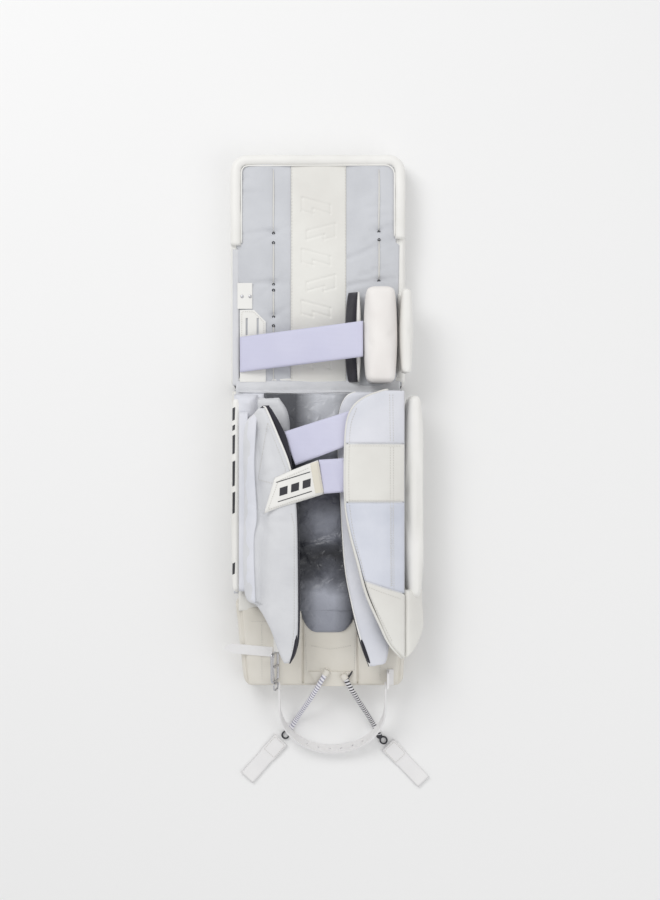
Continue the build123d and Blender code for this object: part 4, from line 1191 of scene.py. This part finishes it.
settle(outerLining, "right_wrap", "right_wrap_lining", "charcoal_lining")
edgeTube("outerWrapPiping", outerEdge, outerShell, 4.4, 2.6, creamLeather, "right_wrap", shift=-0.4)
edgeTube("outerWrapWelt", outerEdge, outerShell, 8.6, 1.1, markInk, "right_wrap", shift=-0.6, low=-513,
         high=-330)
onOuter = list(outerPanels.values())
seam("outerSeamTop", [(49, -174.5), (132, -174.5)], onOuter, "right_wrap")
seam("outerSeamBand", [(49, -260.5), (132, -260.5)], onOuter, "right_wrap")
seam("outerSeamLower", [(76, -396), (133, -418)], onOuter, "right_wrap")
for k, shift in enumerate((0.0, 5.0)):
    seam(f"outerSeamUpright{k}", [(114 + shift, -92), (115 + shift, -170), (115 + shift, -264),
                                  (116 + shift, -402)], onOuter, "right_wrap", gap=4.0)
zigzag = [(115.2 + (4.2 if k % 2 else 0.6), -272 - 3.2 * k) for k in range(40)]
seam("outerSeamZigzag", zigzag, onOuter, "right_wrap", gap=4.6)
seam("outerEdgeStitches", [(62, -114), (53, -140), (50, -178), (50, -258), (57, -312), (69, -359),
                           (82, -408), (102, -452), (118, -484)], onOuter, "right_wrap", smooth=True,
     gap=4.4)

guard = quilt("ankleGuard", {"left": 136.5, "right": [(-426, 165), (-450, 167), (-470, 166), (-500, 152),
                                                      (-513, 139)], "low": -513, "high": -404, "thick": 7.5,
                             "edge": 5, "crown": 1.2, "ripple": 0.5, "seed": 41}, creamLeather,
              shellAt(outerShell, wrap["thick"]))
settle(guard, "shin", "ankle_guard", "white_leather")

innerWrap = quilt("innerWrap", {"left": innerEdge, "right": innerRoot, "low": -527, "high": -88,
                                "thick": wrap["thick"] - wrap["lining"], "edge": 5, "crown": 2.0,
                                "ripple": 0.8, "rippleSize": 50, "seed": 44}, whiteNylon,
                  shellAt(innerShell, wrap["thick"] - wrap["lining"]))
innerLining = quilt("innerWrapLining", {"left": [(y, x - 1.6) for y, x in innerEdge], "right": innerRoot,
                                        "low": -527, "high": -89, "thick": 1.8, "edge": 1.2}, liningCloth,
                    shellAt(innerShell, wrap["thick"]))
for piece, node, slotName in ((innerWrap, "right_inner_wrap", "pale_nylon"),
                              (innerLining, "right_inner_wrap_lining", "charcoal_lining")):
    settle(piece, "right_inner_wrap", node, slotName)
edgeTube("innerWrapBinding", innerEdge, innerShell, 5.0, 1.8, liningCloth, "right_inner_wrap", shift=-1.0,
         low=-527, high=-240)
edgeTube("innerWrapPiping", innerEdge, innerShell, 3.0, 2.0, whiteLeather, "right_inner_wrap", shift=0.4,
         low=-527, high=-88)


def hingeCloth(name, lineA, lineB, material, sag):
    # the cloth that a wrap turns on, from the channel wall to the wrap's root
    def spot(t, s, layer):
        a = np.array(lineA[0]) * (1 - t) + np.array(lineA[1]) * t
        b = np.array(lineB[0]) * (1 - t) + np.array(lineB[1]) * t
        drop = sag * math.sin(math.pi * s) * (1 + 0.3 * math.sin(t * 50.7))
        return a * (1 - s) + b * s + np.array([0, 0, (0.7 if layer == 0 else -0.7) - drop])

    piece = leaf(name, 40, 7, spot, material)
    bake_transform(piece)
    return piece


hingeCloth("leftHinge", ((-127, -120, 86), (-127, -408, 86)), ((-112, -120, 93), (-112, -408, 93)),
           whiteNylon, 1.0)
hingeCloth("outerHinge", ((139, -98, 97), (139, -408, 97)), ((133, -98, 108), (133, -408, 108)),
           greyNylon, 0.5)
hingeCloth("guardHinge", ((139, -412, 107), (139, -505, 107)), ((134.5, -412, 109), (134.5, -505, 109)),
           creamLeather, 0.3)
hingeCloth("innerHinge", ((124, -98, 86), (124, -408, 86)), ((112, -98, 91), (112, -408, 91)),
           greyNylon, 0.8)
print("wraps built")

# calf tab and calf elastics
tabCorners = {"lowLeft": (-85, -282), "highLeft": (-68, -225), "highRight": (0.4, -197),
              "lowRight": (9.8, -251), "lowMid": (-33, -264)}


def calfTab():
    # a leather tab bent over the wrap, with a rounded beige end
    surface = shellAt(leftShell, -1.2)
    cols, rows = 40, 16
    lowLine = smoothLine([tabCorners["lowLeft"], (-60, -272), tabCorners["lowMid"], tabCorners["lowRight"]],
                         cols)
    highLine = smoothLine([tabCorners["highLeft"], (-36, -211), tabCorners["highRight"]], cols)
    x = np.array([[lowLine[i][0] * (1 - j / (rows - 1)) + highLine[i][0] * j / (rows - 1)
                   for i in range(cols)] for j in range(rows)])
    y = np.array([[lowLine[i][1] * (1 - j / (rows - 1)) + highLine[i][1] * j / (rows - 1)
                   for i in range(cols)] for j in range(rows)])
    base, normal = surface(x, y)
    j = np.arange(rows)[:, None] + 0 * x
    i = np.arange(cols)[None, :] + 0 * x
    gap = np.minimum(np.minimum(j, rows - 1 - j) * 3.6, np.minimum(i, cols - 1 - i) * 2.3)
    thick = 3.0 * np.sqrt(np.clip(1 - (1 - np.clip(gap / 3, 0, 1)) ** 2, 0.01,
                                  1)) + 0.25 * softNoise(x, y, 35, 51)
    top = base + normal * thick[..., None]
    points = np.vstack([top.reshape(-1, 3), base.reshape(-1, 3)])
    faces = closedSheet(rows, cols)
    return makePiece("calfTab", points, faces, whiteLeather)


calfTabPiece = calfTab()
settle(calfTabPiece, "calf_tab", "calf_tab", "white_leather")


def printedBar(name, corners, onto, body, material, high=0.35, cell=2.5):
    # a thin raised print laid on a curved piece, between four corners
    tree = treeOf(onto)
    a, b, c, d = (np.array(p, dtype=float) for p in corners)

    def spot(t, s, layer):
        p = (a * (1 - s) + b * s) * (1 - t) + (d * (1 - s) + c * s) * t
        hit, normal = dropOn(tree, *p)
        if hit is None:
            hit, normal = dropOn(tree, p[0] + 1.5, p[1])
        return hit + normal * (high if layer == 0 else -0.3)

    rows = max(2, int(np.linalg.norm(d - a) / cell) + 1)
    cols = max(3, int(np.linalg.norm(b - a) / cell) + 1)
    piece = leaf(name, rows, cols, spot, material, smooth=False)
    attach(piece, body)
    return piece


# a row of slanted blocks between two lines, printed on the tab
tabUp = np.array([-0.28, 0.96])
tabAlong = np.array([0.955, 0.297])
tabMiddle = np.array([-36, -240])
for k in range(3):
    start = tabMiddle + tabAlong * (-27 + 19 * k) - tabUp * 6
    printedBar(f"tabBlock{k}", [start, start + tabAlong * 13, start + tabAlong * 17 + tabUp * 12,
                                start + tabAlong * 4 + tabUp * 12], [calfTabPiece], "calf_tab", markInk)
for k, (shift, trim) in enumerate(((15.5, 2), (-14.5, -4))):
    start = tabMiddle + tabAlong * (-28 + trim) + tabUp * shift
    printedBar(f"tabLine{k}", [start, start + tabAlong * 56, start + tabAlong * 56 + tabUp * 1.3,
                               start + tabUp * 1.3], [calfTabPiece], "calf_tab", markInk)
printedBar("tabEnd", [(-3.5, -249.5), (8.6, -248.2), (0.2, -199), (-11.5, -203)], [calfTabPiece],
           "calf_tab", beigeLeather, high=1.2)
seam("calfTabStitches", [(-78, -274), (-62, -230), (-14, -209)], [calfTabPiece], "calf_tab", gap=3.8)
seam("calfTabStitchesLow", [(-78, -275), (-33, -260), (-6, -254)], [calfTabPiece], "calf_tab", gap=3.8)

strapTop = outerShell[1] + math.sqrt((outerShell[2] - wrap["thick"]) ** 2 - (44 - outerShell[0]) ** 2) - 2.2
upperStrap = strapBand("upperCalfStrap", {"start": (-45, -179, strapTop - 0.4), "end": (70, -139, strapTop),
                                          "width": 53, "sag": 0.6, "cutStart": -20, "cutEnd": 0},
                       wovenElastic)
lowerStrap = strapBand("lowerCalfStrap", {"start": (5.8, -223.5, strapTop - 0.4),
                                          "end": (70, -219, strapTop), "width": 54, "sag": 0.4,
                                          "cutStart": -8.5, "cutEnd": 0}, wovenElastic)
for piece, node in ((upperStrap, "upper_calf_strap"), (lowerStrap, "lower_calf_strap")):
    settle(piece, "right_wrap", node, "lavender_elastic")
print("straps built")

# boot
bootOutline = roundedOutline([(-119, bootToe), (138, bootToe), (half, bootLine - 3), (-132, bootLine - 3)],
                             [16, 16, 3, 3])
bootSkin = casing("bootSkin", bootOutline, pad["depth"], bootLeatherPaintedShade, "boot",
                  {"swell": 2.5, "ripple": 0.6, "seed": 9})
settle(bootSkin, "boot", "boot_cover", "white_leather")
bootBack = quilt("bootBack", {"left": [(bootToe, -114), (bootLine, -128)], "right": 134, "low": bootToe + 6,
                              "high": bootLine - 4, "thick": 3.6, "edge": 3, "crown": 0.4}, bootLeatherPaintedShade,
                 flatAt(46.4), "boot")
bootLeft = quilt("bootLeftPanel", {"left": [(bootToe, -113), (bootLine, -124)], "right": -25,
                                   "low": bootToe + 2.5, "high": bootLine - 5, "thick": 5.2, "edge": 4,
                                   "crown": 1.2, "ripple": 0.6, "seed": 61,
                                   "creases": [(-110, -448, -30, -446, 1.8, 2.2),
                                               (-88, -450, -88, -556, 1.4, 2.2),
                                               (-110, -492, -90, -492, 1.4, 2.0)]}, bootLeatherPaintedShade, flatAt(49),
                 "boot")
bootRight = quilt("bootRightPanel", {"left": 65, "right": [(bootToe, 131), (bootLine, 132)],
                                     "low": bootToe + 2.5, "high": bootLine - 5, "thick": 5.2, "edge": 4,
                                     "crown": 1.2, "ripple": 0.6, "seed": 62,
                                     "creases": [(104, -500, 104, -556, 1.4, 2.2),
                                                 (104, -520, 130, -520, 1.4, 2)]}, bootLeatherPaintedShade, flatAt(49),
                  "boot")
heel = quilt("bootHeelPanel", {"left": -24, "right": 64, "low": bootToe + 4, "high": -446, "thick": 3.6,
                               "edge": 3, "crown": 0.6, "ripple": 0.4, "seed": 63}, bootLeatherPaintedShade,
             flatAt(49.5), "boot")
for piece, node in ((bootBack, "boot_back"), (bootLeft, "boot_left_panel"), (bootRight, "boot_right_panel"),
                    (heel, "boot_channel_panel")):
    settle(piece, "boot", node, "white_leather")

# the satin runs on down to the heel, in a rounded end
satinEnd = quilt("legChannelEnd", {"left": [(-470, 4), (-466, -10), (-459, -18), (-448, -24), (-424, -30)],
                                   "right": [(-470, 26), (-466, 42), (-459, 50), (-448, 57), (-424, 62)],
                                   "low": -469, "high": -424, "thick": 6.0, "edge": 5, "ripple": 1.4,
                                   "rippleSize": 34, "seed": 71, "cell": 3.2,
                                   "creases": [(-20, -436, 14, -444, 2.2, 5),
                                               (40, -428, 34, -460, 2.0, 6)]}, satinCloth, flatAt(51),
                 "boot")
settle(satinEnd, "boot")
breakCloths = {"Satin": (-84.0, 98.0, 77.6, satinCloth), "Left": (-128.0, -86.0, 74.0, creamLeather),
               "Right": (98.0, 132.0, 74.0, creamLeather)}
pullDown = lambda x, y: -0.14 * np.clip(-428 - y, 0, 20)
for key, (x0, x1, base, material) in breakCloths.items():
    cloth = quilt("ankleGusset" + key, {"left": x0, "right": x1, "low": -441, "high": -404, "thick": 3.0,
                                        "edge": 3, "ripple": 0.7, "seed": 72, "cell": 3.2,
                                        "sink": pullDown}, material, flatAt(base))
    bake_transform(cloth)

dress("toe_tab", bootLeatherPaintedShade, 1.0, 3)
for name, line, panel, gap in (("heelStitchesL", [(-20, -478), (-19, -540)], heel, 3.8),
                               ("heelStitchesR", [(60, -478), (59, -540)], heel, 3.8),
                               ("heelStitchesTop", [(-12, -498), (20, -504), (54, -498)], heel, 3.8),
                               ("bootSeamLeft", [(-108, -458), (-32, -457)], bootLeft, 4.0),
                               ("bootSeamUpright", [(-91, -462), (-91, -555)], bootLeft, 4.0),
                               ("bootSeamRight", [(101, -512), (101, -556)], bootRight, 4.0)):
    seam(name, line, [panel], "boot", gap=gap)
loopLine = smoothLine([(56, -540, 58), (53, -545, 60), (49, -551, 60), (46, -557, 58)], 24)
toeLoop = tube("toeCordLoop", loopLine, 1.6, markInk, taper=True)
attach(toeLoop, "boot")

# moulded loops that the ties come out of
for side in ("Left", "Right"):
    a, b = (np.array(tieRoutes[side][k], dtype=float) for k in (0, 1))
    back = (a - b) / np.linalg.norm(a - b)
    line = [a + back * t for t in (0, 0.6, 2.5, 5, 7.5, 9)]
    sleeve = tube("tieSleeve" + side, line, 5.6, bootLeatherPaintedShade, taper=False, sides=18)
    foot = quilt("tieFoot" + side, {"left": a[0] - 8, "right": a[0] + 6, "low": a[1] - 1, "high": a[1] + 11,
                                    "thick": 5.0, "edge": 3}, bootLeatherPaintedShade, flatAt(54.5))
    for piece in (sleeve, foot):
        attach(piece, "boot")
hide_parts("tie_ferrules")

# boot strap, buckle and tip
for node, material in (("boot_strap", gripCloth), ("strap_tip", gripCloth),
                       ("boot_strap_anchor", gripCloth), ("buckle_tab", whiteLeather)):
    dress(node, material, 0.6, 2, 0.7)

buckle = {"x": -65.0, "y": (-546.5, -498.5), "z": (57.5, 78.0), "wire": 2.0, "lean": 0.45}


def wireLoop(name, ys, zs, x, radius, cornerRadius, material, section):
    (y0, y1), (z0, z1) = ys, zs
    outline = roundedOutline([(y0, z0), (y1, z0), (y1, z1), (y0, z1)], [cornerRadius] * 4, 1.5)
    return tube(name, [(x - (z - z0) * buckle["lean"], y, z) for y, z in outline], radius, material,
                section, closed=True, sides=12)


frameWire = wireLoop("buckleFrame", buckle["y"], buckle["z"], buckle["x"], buckle["wire"], 6, nickelSteel,
                     "boot")
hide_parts("buckle_frame")
roller = tube("buckleRoller", [(buckle["x"] - (z - 57.5) * buckle["lean"], -522, z)
                               for z in np.linspace(59, 76.5, 9)], 2.6, nickelSteel, "boot", sides=16)
keeper = wireLoop("buckleKeeper", (-560, -549), (62, 75), buckle["x"], 1.4, 4, nickelSteel, "boot")
for piece in (frameWire, roller, keeper):
    settle(piece, "boot", slot="steel")
prongBow = ((-546, 1.2), (-535, 2.0), (-520, 3.6), (-508, 2.4), (-500, 1.0))
prong = tube("buckleProng", [(-69.3 - bow, y, 68 + 0.6 * bow) for y, bow in prongBow], 1.4, nickelSteel,
             "boot", taper=True)
settle(prong, "buckle_prong", "buckle_prong", "steel")
print("boot built")

# printed marks down the inner edge, and the cores and boards inside
for k, (high, low) in enumerate(((-112, -134), (-140, -150), (-156, -188), (-198, -240), (-248, -284),
                                 (-362, -382))):
    printedBar(f"edgeMark{k}", [(-137.6, low), (-133.8, low + 2), (-133.2, high), (-137.4, high - 2)],
               [leftWall], "shin", markInk, cell=1.9)
for section in ("thigh", "shin", "boot"):
    dress(section + "_core", foamBlock)
    dress(section + "_stiffener", rolledBoard)

# floor and light
floorLook = {"colour": "#F1F1F1", "size": 14.0}
floorMaterial, floorTree, floorSurface, _ = newMaterial("matt_painted_board_white",
                                                        {"Roughness": 0.95,
                                                         "Base Color": linear(floorLook["colour"])})
floorPlace = addNode(floorTree, "ShaderNodeTexCoord")
floorTooth = addNode(floorTree, "ShaderNodeTexNoise", {"Scale": 400.0, "Detail": 2.0},
                     {"Vector": (floorPlace, "Object")})
floorBump = addNode(floorTree, "ShaderNodeBump", {"Strength": 0.05, "Distance": 0.2 * mm},
                    {"Height": (floorTooth, "Fac")})
floorTree.links.new(floorBump.outputs["Normal"], floorSurface.inputs["Normal"])
floorMesh = bpy.data.meshes.new("floor")
s = floorLook["size"] / 2
floorMesh.from_pydata([(-s, -s, 0), (s, -s, 0), (s, s, 0), (-s, s, 0)], [], [(0, 1, 2, 3)])
floorMesh.materials.append(floorMaterial)
floor = bpy.data.objects.new("floor", floorMesh)
bpy.context.collection.objects.link(floor)

world = bpy.data.worlds.new("studio")
world.use_nodes = True
world.node_tree.nodes["Background"].inputs["Color"].default_value = (1, 1, 1, 1)
world.node_tree.nodes["Background"].inputs["Strength"].default_value = 0.66
bpy.context.scene.world = world


def softBox(name, place, target, size, watts):
    lamp = bpy.data.lights.new(name, "AREA")
    lamp.shape = "RECTANGLE"
    lamp.size, lamp.size_y = size
    lamp.energy = watts
    holder = bpy.data.objects.new(name, lamp)
    holder.location = place
    holder.rotation_euler = (Vector(target) - Vector(place)).to_track_quat("-Z", "Y").to_euler()
    bpy.context.collection.objects.link(holder)


softBox("keyLight", (-1.3, 1.6, 2.6), (0, -0.15, 0), (1.6, 1.6), 38)
softBox("fillLight", (1.8, -0.9, 2.4), (0, -0.15, 0), (2.2, 2.2), 14)
bpy.context.scene.view_settings.view_transform = "Standard"

print("scene finished")
